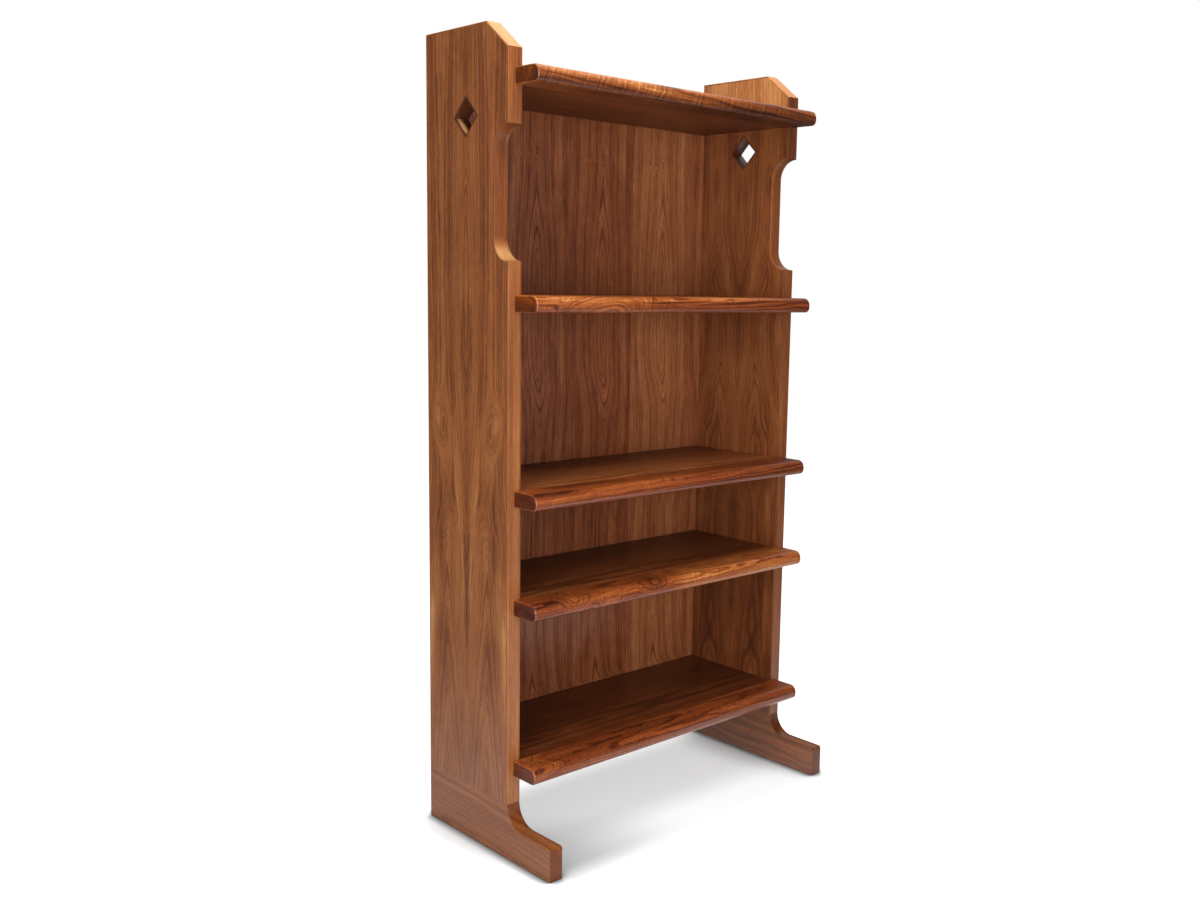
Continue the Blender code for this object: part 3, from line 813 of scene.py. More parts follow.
# Figures in the fronts of the nosings, one row each: the shelf's number from the floor up, the
# figure's middle from the nosing's left end and its height above the middle of the thickness, its half
# length and half width, all in millimetres, then its rise, tone, lean and core as in Figure.
NOSING_FIGURES = (
    (1, 14.0, 2.0, 74.0, 30.0, 40.0, 0.06, 0.0, 0.0),
    (1, 220.0, 0.0, 210.0, 60.0, 0.0, 0.03, 0.0, 0.0),
    (1, 830.0, 14.0, 160.0, 12.0, 0.0, -0.14, 0.0, 0.0),
    (2, 110.0, 30.0, 60.0, 46.0, 34.0, 0.18, -0.35, 0.0),
    (2, 215.0, -28.0, 80.0, 42.0, 34.0, 0.08, 0.0, 0.0),
    (2, 375.0, 30.0, 80.0, 50.0, 34.0, -0.1, 0.3, 0.0),
    (2, 40.0, 0.0, 160.0, 60.0, 0.0, -0.1, 0.0, 0.0),
    (2, 690.0, 0.0, 310.0, 90.0, 0.0, 0.26, 0.0, 0.65),
    (3, 200.0, 0.0, 300.0, 60.0, 0.0, -0.02, 0.0, 0.0),
    (3, 560.0, 12.0, 420.0, 3.0, 0.0, -0.1, 0.0, 0.0),
    # Painted shade: this nosing darker toward its right end, where the light falls off.
    (3, 850.0, 0.0, 420.0, 80.0, 0.0, -0.08, 0.0, 0.0),
    (4, 206.0, -46.0, 216.0, 90.0, 190.0, 0.1, 0.0, 0.0),
    (4, 110.0, 24.0, 330.0, 28.0, 0.0, 0.26, 0.0, 0.0),
    (4, 330.0, -34.0, 120.0, 84.0, -60.0, 0.06, 0.0, 0.0),
    (4, 216.0, -14.0, 14.0, 7.0, -6.0, -0.22, 0.0, 0.0),
    (4, 500.0, 13.0, 440.0, 14.0, 0.0, 0.26, 0.0, 0.0),
    (4, 420.0, 7.0, 170.0, 4.0, 0.0, -0.5, -0.02, 0.0),
    (4, 660.0, 0.0, 260.0, 4.5, 0.0, -0.5, 0.0, 0.0),
    (4, 800.0, -6.0, 90.0, 9.0, 0.0, -0.1, 0.0, 0.0),
    (5, 20.0, 26.0, 90.0, 50.0, 40.0, 0.0, 0.0, 0.0),
    (5, 260.0, 3.0, 440.0, 15.0, 0.0, 0.06, 0.06, 0.3),
    (5, 90.0, -6.0, 150.0, 12.0, 0.0, 0.06, 0.06, 0.0),
    (5, 250.0, -19.0, 380.0, 8.0, 0.0, -0.14, 0.02, 0.0),
    # Painted shade: the two rows below make the top nosing's lower front and underside darker.
    (5, 461.0, -10.0, 900.0, 13.0, 0.0, -0.12, 0.06, 0.4),
    (5, 461.0, -24.0, 700.0, 10.0, 0.0, -0.16, 0.06, 0.6),
    (5, 640.0, 0.0, 190.0, 5.0, 0.0, -0.14, 0.12, 0.0),
    # Painted shade: the top nosing darker toward its right end, where the light falls off.
    (5, 780.0, 0.0, 520.0, 80.0, 0.0, -0.24, 0.0, 0.0),
)

# Solid figured walnut, planed and satin varnished: swirls and pale flames between dark lines, with
# glossier rounds where the edge is rubbed.
NOSING = Walnut(
    name="walnut_figured",
    cut=Cut.LOG,
    ramp=((0.0, "#33130A"), (0.25, "#5C2811"), (0.5, "#843D19"), (0.75, "#AD612C"), (1.0, "#DE9E5C")),
    layers=(
        Layer(0.66, (1.0, 13.0, 1.0), Follow.RINGS, 3.0, 0.6),
        Layer(-0.40, (1.0, 5.0, 1.0), Follow.LINES, 2.0, 0.6),
        Layer(0.24, (200.0, 40.0, 40.0)),
        Layer(0.50, (240.0, 3.0, 3.0), Follow.GRAIN, 3.0, 0.6),
        Layer(0.22, (7.0, -22.0, 22.0), Follow.CURL, 1.0, 0.5),
        Layer(0.46, (60.0, 1.4, 1.4), Follow.GRAIN, 2.0, 0.6),
    ),
    warp=(30.0, 5.0),
    warp_size=(110.0, 30.0),
    heart=((0.0, -56.0), (9000.0, -56.0)),
    depth=((0.0, 40.0), (9000.0, 40.0)),
    figures=figures(*((NOSING_STEP * number + along, *rest) for number, along, *rest in NOSING_FIGURES)),
    roughness=0.33,
    gloss=0.45,
    end_tone=0.24,
    # Paler eased edges: rubbed wear and a painted highlight.
    edge_wear_and_painted_light=0.20,
    edge_gloss=0.5,
)
# The same wood with paler crests and a finer slanting ripple, for the top nosing.
CURLY = replace(
    NOSING,
    name="walnut_curly",
    ramp=((0.0, "#33150A"), (0.25, "#5F2D14"), (0.5, "#8B4A22"), (0.75, "#BF7E45"), (1.0, "#F0BE82")),
    warp=(9.0, 5.0),
    layers=(
        NOSING.layers[0],
        Layer(-0.20, (1.0, 5.0, 1.0), Follow.LINES, 2.0, 0.6),
        *NOSING.layers[2:-2],
        Layer(0.36, (6.5, -15.0, 13.0), Follow.CURL, 0.0, 0.5),
        NOSING.layers[-1],
    ),
)


# How much lighter the wood of a piece is than others of its kind. Boards differ, but much of it is
# painted light: the right front strips darker as painted shade where the light falls off across the
# front, the clip strips paler as a painted sheen, the piercing linings darker as painted shade in the
# hole, the right foot darker as painted shade, and the shelf boards partly their own tone and partly
# painted shade.
PIECE_TONE_AND_PAINTED_LIGHT = {
    "right_front_lipping_lower": -0.20,
    "right_front_lipping_upper": -0.32,
    "left_clip_lipping": 0.34,
    "right_clip_lipping": 0.24,
    "left_diamond_lining": -0.52,
    "right_diamond_lining": -0.46,
    "right_notch_lipping": -0.15,
    "left_notch_lipping": -0.18,
    "left_front_lipping_upper": -0.08,
    "bottom_shelf_board": -0.20,
    "lower_shelf_board": 0.04,
    "middle_shelf_board": 0.16,
    "upper_shelf_board": 0.04,
    "top_shelf_board": -0.16,
    "right_foot": -0.14,
}

# Place of each straight strip across the board that the edgings were sawn from, in millimetres.
STRIP_PLACES = {
    "front_lipping_upper": 40.0,
    "clip_lipping": 90.0,
    "top_lipping": 140.0,
    "front_lipping_lower": 190.0,
    "back_lipping": 240.0,
    "diamond_lining": 300.0,
}

# How each nosing's grain rises along it, as a slope.
GRAIN_RISE = {
    "bottom_shelf": 0.02,
    "lower_shelf": -0.03,
    "middle_shelf": -0.02,
    "upper_shelf": -0.03,
    "top_shelf": 0.06,
}


@dataclass(frozen=True)
class Beech:
    """Steamed beech, planed and left bare, as loose tenons and splines are made of.

    It shows as a dull pale tan with short darker flecks.

    Attributes:
        name: Name of the material.
        pale: Colour between the flecks.
        fleck: Colour of the short rays.
        roughness: Roughness of bare planed wood.
    """

    name: str = "beech_bare"
    pale: str = "#D2A878"
    fleck: str = "#A9754A"
    roughness: float = 0.62

    def material(self) -> Material:
        """Build the finish: flecks 0.6 mm wide and 3 mm long, in Object coordinates.

        Returns:
            The material.
        """
        material, output = blank_material(self.name)
        tree = material.node_tree
        place = add_node(tree, "ShaderNodeTexCoord").outputs["Object"]
        scale = (1 / (3.0 * MM), 1 / (0.6 * MM), 1 / (0.6 * MM))
        shrunk = add_node(tree, "ShaderNodeVectorMath", (place, scale), operation="MULTIPLY")
        noise = add_node(tree, "ShaderNodeTexNoise", {"Vector": shrunk, "Scale": 1.0, "Detail": 2.0})
        colour = add_node(
            tree, "ShaderNodeMix", {0: noise, 6: linear(self.pale), 7: linear(self.fleck)}, data_type="RGBA"
        )
        bump = add_node(tree, "ShaderNodeBump", {"Strength": 0.3, "Distance": 0.1 * MM, "Height": noise})
        shader = add_node(
            tree,
            "ShaderNodeBsdfPrincipled",
            {"Base Color": colour.outputs[2], "Roughness": self.roughness, "Normal": bump},
        )
        tree.links.new(shader.outputs["BSDF"], output.inputs["Surface"])
        return material


@dataclass(frozen=True)
class Stock:
    """How a piece lay in the wood it was cut from.

    Attributes:
        along: Direction of the grain in the piece's own frame.
        across: Direction across the face.
        through: Direction into the thickness.
        origin: Point of the piece, in metres, that the offset belongs to.
        offset: Its place in the stock, in millimetres, counted from the heart of the log or from
            the top of the leaf.
    """

    along: tuple[float, float, float]
    across: tuple[float, float, float]
    through: tuple[float, float, float]
    origin: tuple[float, float, float] = (0.0, 0.0, 0.0)
    offset: tuple[float, float, float] = (0.0, 0.0, 0.0)

    def at(self, points: Points) -> Points:
        """Place in the stock: the distance from the origin along each direction, plus the offset."""
        axes = np.array([self.along, self.across, self.through])
        return (points - np.array(self.origin)) @ axes.T / MM + np.array(self.offset)


@dataclass(frozen=True)
class Place:
    """Where a piece's own frame stands.

    Attributes:
        origin: Where its origin lies.
        mirror: 1, or -1 where its X axis is mirrored.
    """

    origin: tuple[float, float, float]
    mirror: int = 1

    def world(self, points: Points) -> Points:
        """Points of the piece's own frame in the shared frame."""
        return points * np.array([self.mirror, 1.0, 1.0]) + np.array(self.origin)


@dataclass(frozen=True)
class Patch:
    """One stretch of a piece's surface.

    Attributes:
        points: Places in metres in the piece's own frame, one row each.
        faces: Point numbers, one row for each face.
        stock: Places in the stock in millimetres, one row for each point.
        arris: How worn each point is, from 0 on a flat to 1 on the middle of an eased edge.
        grain: Direction of the grain, which tells end grain from long grain, or None where the
            strip bends and shows no end.
        finish: Which of the piece's finishes it takes.
    """

    points: Points
    faces: NDArray[np.int64]
    stock: Points
    arris: Points
    grain: tuple[float, float, float] | None = None
    finish: int = 0


def grid_faces(rows: int, columns: int, closed: bool = True) -> NDArray[np.int64]:
    """Quads of a grid of points: (i, j), (i + 1, j), (i + 1, j + 1), (i, j + 1).

    Args:
        rows: Number of rows.
        columns: Number of points in a row.
        closed: Whether each row's last point joins its first.

    Returns:
        Four point numbers for each face.
    """
    row = np.arange(rows - 1)[:, None]
    column = np.arange(columns if closed else columns - 1)[None, :]
    after = (column + 1) % columns
    corners = (
        row * columns + column,
        (row + 1) * columns + column,
        (row + 1) * columns + after,
        row * columns + after,
    )
    return np.stack(np.broadcast_arrays(*corners), axis=-1).reshape(-1, 4)


def grid_patch(grid: Points, stock: Stock, arris: Points, closed: bool = True, finish: int = 0) -> Patch:
    """A patch from a grid of places.

    Args:
        grid: Places, by row, column and coordinate.
        stock: How the piece lay in the wood.
        arris: Wear by row and column.
        closed: Whether each row is a closed loop.
        finish: Number of the finish.

    Returns:
        The patch.
    """
    points = grid.reshape(-1, 3)
    faces = grid_faces(grid.shape[0], grid.shape[1], closed)
    return Patch(points, faces, stock.at(points), np.ravel(arris), stock.along, finish)


def flat_patch(loop: Points, stock: Stock, finish: int = 0) -> Patch:
    """A patch of one flat face inside a closed loop of places.

    Args:
        loop: Places in order.
        stock: How the piece lay in the wood.
        finish: Number of the finish.

    Returns:
        The patch.
    """
    faces = np.arange(len(loop))[None, :]
    return Patch(loop, faces, stock.at(loop), np.zeros(len(loop)), stock.along, finish)


def make_piece(
    node: str, patches: Sequence[Patch], place: Place, finishes: Sequence[Material]
) -> None:
    """Make one closed mesh of patches whose rims meet, and let it stand for its CAD node.

    Every corner keeps its place in the stock and its wear, and every face how far it looks along
    the grain, which is 1 on end grain. The piece's own tone, partly painted light, goes on its first
    finish alone.
    Doubles are merged, then the normals point out. The piece stays at the origin, with its place in
    its mesh.

    Args:
        node: CAD node that the piece stands for.
        patches: Stretches of its surface.
        place: Where the piece stands.
        finishes: Materials that the patches number.
    """
    name = f"{node}_wood"
    starts = np.cumsum([0] + [len(patch.points) for patch in patches])
    numbered = [patch.faces + start for patch, start in zip(patches, starts)]
    corners = np.concatenate([faces.ravel() for faces in numbered])
    counts = [len(patch.faces) for patch in patches]
    mesh = bpy.data.meshes.new(name)
    points = place.world(np.concatenate([patch.points for patch in patches]))
    mesh.from_pydata(points.tolist(), [], [face for faces in numbered for face in faces.tolist()])
    stock = mesh.attributes.new("stock", "FLOAT_VECTOR", "CORNER")
    stock.data.foreach_set("vector", np.concatenate([patch.stock for patch in patches])[corners].ravel())
    arris = mesh.attributes.new("arris", "FLOAT", "CORNER")
    arris.data.foreach_set("value", np.concatenate([patch.arris for patch in patches])[corners])
    normals = np.empty(len(mesh.polygons) * 3)
    mesh.polygons.foreach_get("normal", normals)
    grain = np.repeat([patch.grain or (0.0, 0.0, 0.0) for patch in patches], counts, axis=0)
    end = mesh.attributes.new("end_grain", "FLOAT", "FACE")
    end.data.foreach_set("value", np.abs((normals.reshape(-1, 3) * grain).sum(axis=1)) ** 2)
    # The piece's own tone, partly painted shade and painted sheen, on its first finish alone.
    shade = mesh.attributes.new("tone_and_painted_light", "FLOAT", "FACE")
    own = np.repeat([patch.finish == 0 for patch in patches], counts)
    shade.data.foreach_set("value", own * PIECE_TONE_AND_PAINTED_LIGHT.get(node, 0.0))
    mesh.polygons.foreach_set("material_index", np.repeat([patch.finish for patch in patches], counts))
    for finish in finishes:
        mesh.materials.append(finish)
    work = bmesh.new()
    work.from_mesh(mesh)
    bmesh.ops.remove_doubles(work, verts=work.verts, dist=SAME_POINT)
    bmesh.ops.recalc_face_normals(work, faces=work.faces)
    work.to_mesh(mesh)
    work.free()
    mesh.shade_smooth()
    mesh.set_sharp_from_angle(angle=SHARP_ANGLE)
    piece = bpy.data.objects.new(name, mesh)
    bpy.context.scene.collection.objects.link(piece)
    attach(piece, BODY)
    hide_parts(node)
    LOG.info("%s: %d faces, stands for %s", name, len(mesh.polygons), node)


def arc(centre: tuple[float, float], radius: float, start: float, end: float, steps: int) -> Points:
    """Points of a circle: centre + radius * (cos, sin) of even angles between start and end degrees."""
    angle = np.radians(np.linspace(start, end, steps + 1))
    return np.array(centre) + radius * np.stack([np.cos(angle), np.sin(angle)], axis=1)


def into_wood(outline: Points) -> Points:
    """Directions that draw a closed anticlockwise outline in by a unit on every side.

    Each is the sum of the two neighbouring sides' left normals, over one plus their dot product.

    Args:
        outline: Points in order, with the wood on the left.

    Returns:
        One direction for each point.
    """
    sides = np.diff(outline, axis=0, append=outline[:1])
    left = np.stack([-sides[:, 1], sides[:, 0]], axis=1)
    left /= np.linalg.norm(left, axis=1, keepdims=True)
    before = np.roll(left, 1, axis=0)
    return (left + before) / (1 + (left * before).sum(axis=1, keepdims=True))


def on_plane(flat: Points, x: float | Points) -> Points:
    """Stand flat points up: the plane's two axes become Y and Z, at the given X."""
    return np.stack([np.broadcast_to(x, flat.shape[:-1]), flat[..., 0], flat[..., 1]], axis=-1)


def eased_slab(
    outline: Points, inward: Points, reach: tuple[float, float], radius: float, steps: int, stock: Stock
) -> list[Patch]:
    """A slab: an outline in the YZ plane carried along X, with both rims rounded.

    At angle a of the rounding the outline is drawn in by radius * (1 - sin a) and stands
    radius * (1 - cos a) inside the end face. One more loop just inside the rim keeps the end flat.

    Args:
        outline: Closed outline, anticlockwise.
        inward: Direction that draws each point in.
        reach: Lowest and highest X.
        radius: Radius of the rounded rims.
        steps: Number of steps in a rounding.
        stock: How the piece lay in the wood.

    Returns:
        The wall and the two end faces.
    """
    angle = np.linspace(0, math.pi / 2, steps + 1)
    inset = np.concatenate([[radius * RIM], radius * (1 - np.sin(angle))])
    step_in = np.concatenate([[0.0], radius * (1 - np.cos(angle))])
    wear = np.concatenate([[0.0], np.sin(2 * angle)])
    x = np.concatenate([reach[0] + step_in, (reach[1] - step_in)[::-1]])
    inset = np.concatenate([inset, inset[::-1]])
    wear = np.concatenate([wear, wear[::-1]])
    loops = outline[None] + inward[None] * inset[:, None, None]
    grid = on_plane(loops, np.repeat(x[:, None], len(outline), axis=1))
    worn = wear[:, None] * (np.linalg.norm(inward, axis=1) > 0)
    wall = grid_patch(grid, stock, worn)
    return [wall, flat_patch(grid[0], stock), flat_patch(grid[-1], stock)]


def strip_profile(
    faces: tuple[float, float], depth: float, radius: float, steps: int
) -> tuple[Points, Points]:
    """Section of an edging strip: a flat bar whose two outer corners are quarter circles.

    Args:
        faces: Places of the outer and of the inner face of the side.
        depth: Thickness of the strip.
        radius: Radius of the rounded corners.
        steps: Number of steps in a corner.

    Returns:
        Points as (across the edge, depth into the wood), anticlockwise, and the wear of each.
    """
    low, high = faces
    turn = np.linspace(0, math.pi / 2, steps + 1)
    first = np.stack([low + radius * (1 - np.cos(turn)), radius * (1 - np.sin(turn))], axis=1)
    second = np.stack([high - radius * (1 - np.sin(turn)), radius * (1 - np.cos(turn))], axis=1)
    square = np.array([[high, radius * RIM], [high, depth], [low, depth], [low, radius * RIM]])
    flats = np.array([[low + radius * RIM, 0.0], [high - radius * RIM, 0.0]])
    wear = np.sin(2 * turn)
    points = np.concatenate([first, flats, second, square])
    return points, np.concatenate([wear, np.zeros(2), wear, np.zeros(4)])


@dataclass(frozen=True)
class Side:
    """A veneered side with its edging strips and the lining of its piercing.

    In the side's own frame X runs from the middle of the thickness towards the other side, Y from
    the front edge to the back and Z up from the floor.

    Attributes:
        hand: Left or right.
        sizes: Sizes of the bookcase.
        arris: Radius of the eased edges.
        steps: Steps in an eased edge.
        arc_steps: Steps in a corner of the scoop.
        lining_arris: Radius of the eased edges of the lining.
        lining_rim: As RIM, for the lining.
        lining_step: How far apart its strips lay across their board, in millimetres.
        leaf_offset: Place through the veneer, which changes the finer grain.
        leaf_step: How much deeper in the log the inner face's slice lay than the outer's.
        strip_step: How far apart along their board two strips lay, for each millimetre across it.
        strip_depth: Place through that board of a strip whose place across is 0.
        notch_stock: Place of the scoop's strip along, across and through its own board.
        hand_step: How far apart along their boards the strips of the two hands lay from the middle.
    """

    hand: Hand
    sizes: Measures
    arris: float = 0.0018
    steps: int = 4
    arc_steps: int = 28
    lining_arris: float = 0.0006
    lining_rim: float = 1.3
    lining_step: float = 30.0
    leaf_offset: float = 0.0
    leaf_step: float = 200.0
    strip_step: float = 13.0
    strip_depth: float = 150.0
    notch_stock: tuple[float, float, float] = (900.0, 60.0, 170.0)
    hand_step: float = 500.0

    @property
    def place(self) -> Place:
        """Where the side stands."""
        middle = self.hand.value * (self.sizes.width - self.sizes.board) / 2
        return Place((middle, self.sizes.front, 0.0), -self.hand.value)

    def corners(self, inset: float) -> Points:
        """Corners of the outline: the slope's foot, its top and the top back corner.

        Args:
            inset: How far the outline is drawn in.

        Returns:
            Three points in the YZ plane.
        """
        s = self.sizes
        length = math.hypot(s.clip_run, s.clip_drop)
        slope = s.clip_drop / s.clip_run
        start = s.height - s.clip_drop - inset * (s.clip_run + s.clip_drop * slope) / length
        foot = (inset, start + inset * slope)
        peak = ((s.height - inset - start) / slope, s.height - inset)
        return np.array([foot, peak, (s.side_depth - inset, s.height - inset)])

    def notch(self, inset: float, start: float) -> Points:
        """The scoop's edge from its upper to its lower end, drawn in by the inset.

        Two quarter circles about points on the front edge are joined by an upright.

        Args:
            inset: Distance into the wood.
            start: Depth at which the run begins and ends.

        Returns:
            Points in the YZ plane.
        """
        s = self.sizes
        radius = s.notch_depth + inset
        meet = math.degrees(math.acos(start / radius))
        high = arc((0.0, s.notch_high - s.notch_depth), radius, meet, 0.0, self.arc_steps)
        low = arc((0.0, s.notch_low + s.notch_depth), radius, 0.0, -meet, self.arc_steps)
        return np.concatenate([high, low])

    def build(self, outer: Material, inner: Material, edging: Material, lining: Material) -> None:
        """Build the panel, the strips and the lining.

        Args:
            outer: Veneer of the outer face.
            inner: Veneer of the inner face.
            edging: Finish of the solid strips.
            lining: Finish of the frame in the piercing.
        """
        word, place = self.hand.word, self.place
        make_piece(f"{word}_side_panel", self.panel(), place, (outer, inner, edging))
        for name, patches in self.strips().items():
            make_piece(f"{word}_{name}", patches, place, (edging,))
        make_piece(f"{word}_diamond_lining", self.lining(), place, (lining,))

    def _leaf(self, side: int) -> Stock:
        """Stock of one veneered face, down from the top and from the middle of the depth.

        Args:
            side: 0 for the outer face and 1 for the inner one, which gives each its own slice.

        Returns:
            Its stock.
        """
        s = self.sizes
        return Stock(
            (0.0, 0.0, -1.0),
            (0.0, 1.0, 0.0),
            (1.0, 0.0, 0.0),
            (0.0, s.side_depth / 2, s.height),
            (0.0, 0.0, self.leaf_offset + self.leaf_step * side),
        )

    def diamond(self, reach: float) -> Points:
        """The piercing's square, corner up: top, front, bottom and back corner."""
        s = self.sizes
        y, z = s.side_depth / 2, s.diamond_height
        return np.array([(y, z + reach), (y - reach, z), (y, z - reach), (y + reach, z)])

    def panel(self) -> list[Patch]:
        """The veneered panel: two pierced faces, the walls round them and the step of the rabbet.

        The outline is carried along X in two stages. The outer stage is whole, and the inner one
        steps back where the rabbet of the back takes it away. Each face is two flat halves that
        meet above and below the piercing.

        Returns:
            Patches with finish 0 outside, 1 inside and 2 on the walls.
        """
        s = self.sizes
        inset = s.lipping + s.joint / 2
        foot, peak, back = self.corners(inset)
        base = s.foot_height + s.joint
        middle = s.side_depth / 2
        low, high = s.rabbet_ends
        before = np.array([(middle, base), (inset, base)])
        front = np.concatenate([before, self.notch(inset, inset)[::-1], [foot, peak, (middle, back[1])]])
        step = s.back_face - s.joint
        straight = np.array([back, (back[0], high), (back[0], low), (back[0], base)])
        stepped = np.array(
            [back, (back[0], high), (step, high), (step, low), (back[0], low), (back[0], base)]
        )
        half = s.board / 2
        stage = half - s.rabbet_width
        hole = self.diamond(s.diamond_reach + s.lipping * math.sqrt(2))
        edge_stock = self._leaf(0)
        patches = []
        for side, rear, reach in ((0, straight, (-half, stage)), (1, stepped, (half, stage))):
            outline = np.concatenate([front, rear])
            wall = np.stack([on_plane(outline, x) for x in reach])
            patches.append(grid_patch(wall, edge_stock, np.zeros(wall.shape[:2]), finish=2))
            leaf = self._leaf(side)
            front_half = np.concatenate([front, hole[[0, 1, 2]]])
            rear_half = np.concatenate([front[-1:], rear, front[:1], hole[[2, 3, 0]]])
            for loop in (front_half, rear_half):
                patches.append(flat_patch(on_plane(loop, reach[0]), leaf, side))
        tube = np.stack([on_plane(hole, x) for x in (-half, half)])
        patches.append(grid_patch(tube, edge_stock, np.zeros(tube.shape[:2]), finish=2))
        ledge = np.concatenate([straight[1:3], stepped[[3, 2]]])
        patches.append(flat_patch(on_plane(ledge, stage), edge_stock, 2))
        return patches

    def _strip(
        self, path: Points, depthward: Points, profile: Points, wear: Points, stock: Stock
    ) -> list[Patch]:
        """An edging strip: its section carried along the side's edge, with flat ends.

        Args:
            path: Points of the edge in the YZ plane.
            depthward: Direction into the wood at each, as long as a mitre needs.
            profile: Section for each point of the path, as (across, depth).
            wear: Wear of the section's points.
            stock: How the strip lay in the wood.

        Returns:
            The wall and the two ends.
        """
        flat = path[:, None] + depthward[:, None] * profile[..., 1:]
        grid = on_plane(flat, profile[..., 0])
        wall = grid_patch(grid, stock, np.repeat(wear[None], len(path), axis=0))
        return [wall, flat_patch(grid[0], stock), flat_patch(grid[-1], stock)]

    def strips(self) -> dict[str, list[Patch]]:
        """Build every edging strip.

        Returns:
            The patches of each, by the name of its CAD node without the hand.
        """
        s = self.sizes
        half = s.board / 2
        full, wear = strip_profile((-half, half), s.lipping - s.joint / 2, self.arris, self.steps)
        outer = self.corners(0.0)
        mitre = (self.corners(s.lipping) - outer) / s.lipping
        base = s.foot_height + s.joint
        level = (1.0, 0.0)
        section = np.repeat(full[None], 2, axis=0)
        made = {}
        for name, path, depthward in (
            ("front_lipping_upper", ((0.0, s.notch_high), outer[0]), (level, mitre[0])),
            ("clip_lipping", outer[:2], mitre[:2]),
            ("top_lipping", outer[1:], mitre[1:]),
            ("front_lipping_lower", ((0.0, base), (0.0, s.notch_low)), (level, level)),
        ):
            path = np.array(path)
            run = path[1] - path[0]
            run = run / np.linalg.norm(run)
            ends = path + np.array([run, -run]) * s.joint / 2
            stock = self._strip_stock(run, STRIP_PLACES[name])
            made[name] = self._strip(ends, np.array(depthward), section, wear, stock)
        made["back_lipping"] = self._back_strip(outer[2], mitre[2])
        made["notch_lipping"] = self._notch_strip(full, wear)
        return made

    def _strip_stock(self, run: Points, across: float) -> Stock:
        """Stock of a straight strip, with the grain along its run.

        Args:
            run: Direction of the strip in the YZ plane.
            across: Place of the strip across its board, in millimetres.

        Returns:
            Its stock.
        """
        along = (0.0, float(run[0]), float(run[1]))
        through = (0.0, float(-run[1]), float(run[0]))
        start = across * self.strip_step + self.hand_step * self.hand.value
        return Stock(along, (1.0, 0.0, 0.0), through, offset=(start, across, self.strip_depth + across))

    def _back_strip(self, corner: Points, mitre: Points) -> list[Patch]:
        """The back strip, whose section is narrower along the rabbet of the back.

        Args:
            corner: Top back corner of the side.
            mitre: Direction of its mitre.

        Returns:
            The patches of the strip.
        """
        s = self.sizes
        half = s.board / 2
        low, high = s.rabbet_ends
        heights = np.array([corner[1] - s.joint / 2, high, high, low, low, s.foot_height + s.joint])
        narrow = half - s.rabbet_width
        thickness = s.lipping - s.joint / 2
        sections, wears = zip(
            *(
                strip_profile((-half, inner), thickness, self.arris, self.steps)
                for inner in (half, half, narrow, narrow, half, half)
            )
        )
        path = np.stack([np.full(len(heights), s.side_depth), heights], axis=1)
        depthward = np.repeat([(-1.0, 0.0)], len(heights), axis=0)
        depthward[0] = mitre
        stock = self._strip_stock(np.array([0.0, 1.0]), STRIP_PLACES["back_lipping"])
        return self._strip(path, depthward, np.stack(sections), wears[0], stock)

    def _notch_strip(self, section: Points, wear: Points) -> list[Patch]:
        """The strip bent round the scoop, its grain following the bend.

        Args:
            section: Section of the strip.
            wear: Wear of the section's points.

        Returns:
            The wall and the two ends.
        """
        s = self.sizes
        path = self.notch(0.0, s.lipping + s.joint / 2)
        heights = np.clip(path[:, 1], s.notch_low + s.notch_depth, s.notch_high - s.notch_depth)
        depthward = path - np.stack([np.zeros(len(path)), heights], axis=1)
        depthward /= np.linalg.norm(depthward, axis=1, keepdims=True)
        sections = np.repeat(section[None], len(path), axis=0)
        wall, first, last = self._strip(path, depthward, sections, wear, self._leaf(0))
        along, across, through = self.notch_stock
        walked = np.concatenate([[0.0], np.cumsum(np.linalg.norm(np.diff(path, axis=0), axis=1))]) / MM
        walked = walked + along + self.hand_step * self.hand.value
        flat = np.tile(section / MM + np.array([across, through]), (len(path), 1))
        count = len(section)
        stock = np.concatenate([np.repeat(walked, count)[:, None], flat], axis=1)
        return [
            Patch(wall.points, wall.faces, stock, wall.arris),
            Patch(first.points, first.faces, stock[:count], first.arris),
            Patch(last.points, last.faces, stock[-count:], last.arris),
        ]

    def lining(self) -> list[Patch]:
        """The mitred frame in the piercing: four strips, each with the grain along its own run.

        Returns:
            The strips' eased inner faces, their rims flush with the two veneers and their backs.
        """
        s = self.sizes
        half = s.board / 2
        inner = self.diamond(s.diamond_reach)
        outer = self.diamond(s.diamond_reach + (s.lipping - s.joint) * math.sqrt(2))
        ease = self.lining_arris
        turn = np.linspace(0, math.pi / 2, 4)
        reach = np.concatenate([[0.0], ease * (1 - np.cos(turn))])
        inset = np.concatenate([[self.lining_rim * ease], ease * (1 - np.sin(turn))])
        wear = np.concatenate([[0.0], np.sin(2 * turn)])
        x = np.concatenate([-half + reach, (half - reach)[::-1]])
        grow = np.concatenate([inset, inset[::-1]]) * math.sqrt(2)
        worn = np.concatenate([wear, wear[::-1]])
        centre = inner.mean(axis=0)
        outward = (inner - centre) / s.diamond_reach
        patches = []
        for start in range(4):
            ends = [start, (start + 1) % 4]
            run = inner[ends[1]] - inner[ends[0]]
            board_place = STRIP_PLACES["diamond_lining"] + self.lining_step * start
            stock = self._strip_stock(run / np.linalg.norm(run), board_place)
            rounded = inner[ends][None] + outward[ends][None] * grow[:, None, None]
            grid = on_plane(rounded, np.repeat(x[:, None], 2, axis=1))
            patches.append(grid_patch(grid, stock, np.repeat(worn[:, None], 2, axis=1), False))
            for row, face in ((0, -half), (-1, half)):
                rim = np.concatenate([grid[row], on_plane(outer[ends[::-1]], face)])
                patches.append(flat_patch(rim, stock))
            wall = np.stack([on_plane(outer[ends], face) for face in (-half, half)])
            patches.append(grid_patch(wall, stock, np.zeros((2, 2)), False))
        return patches


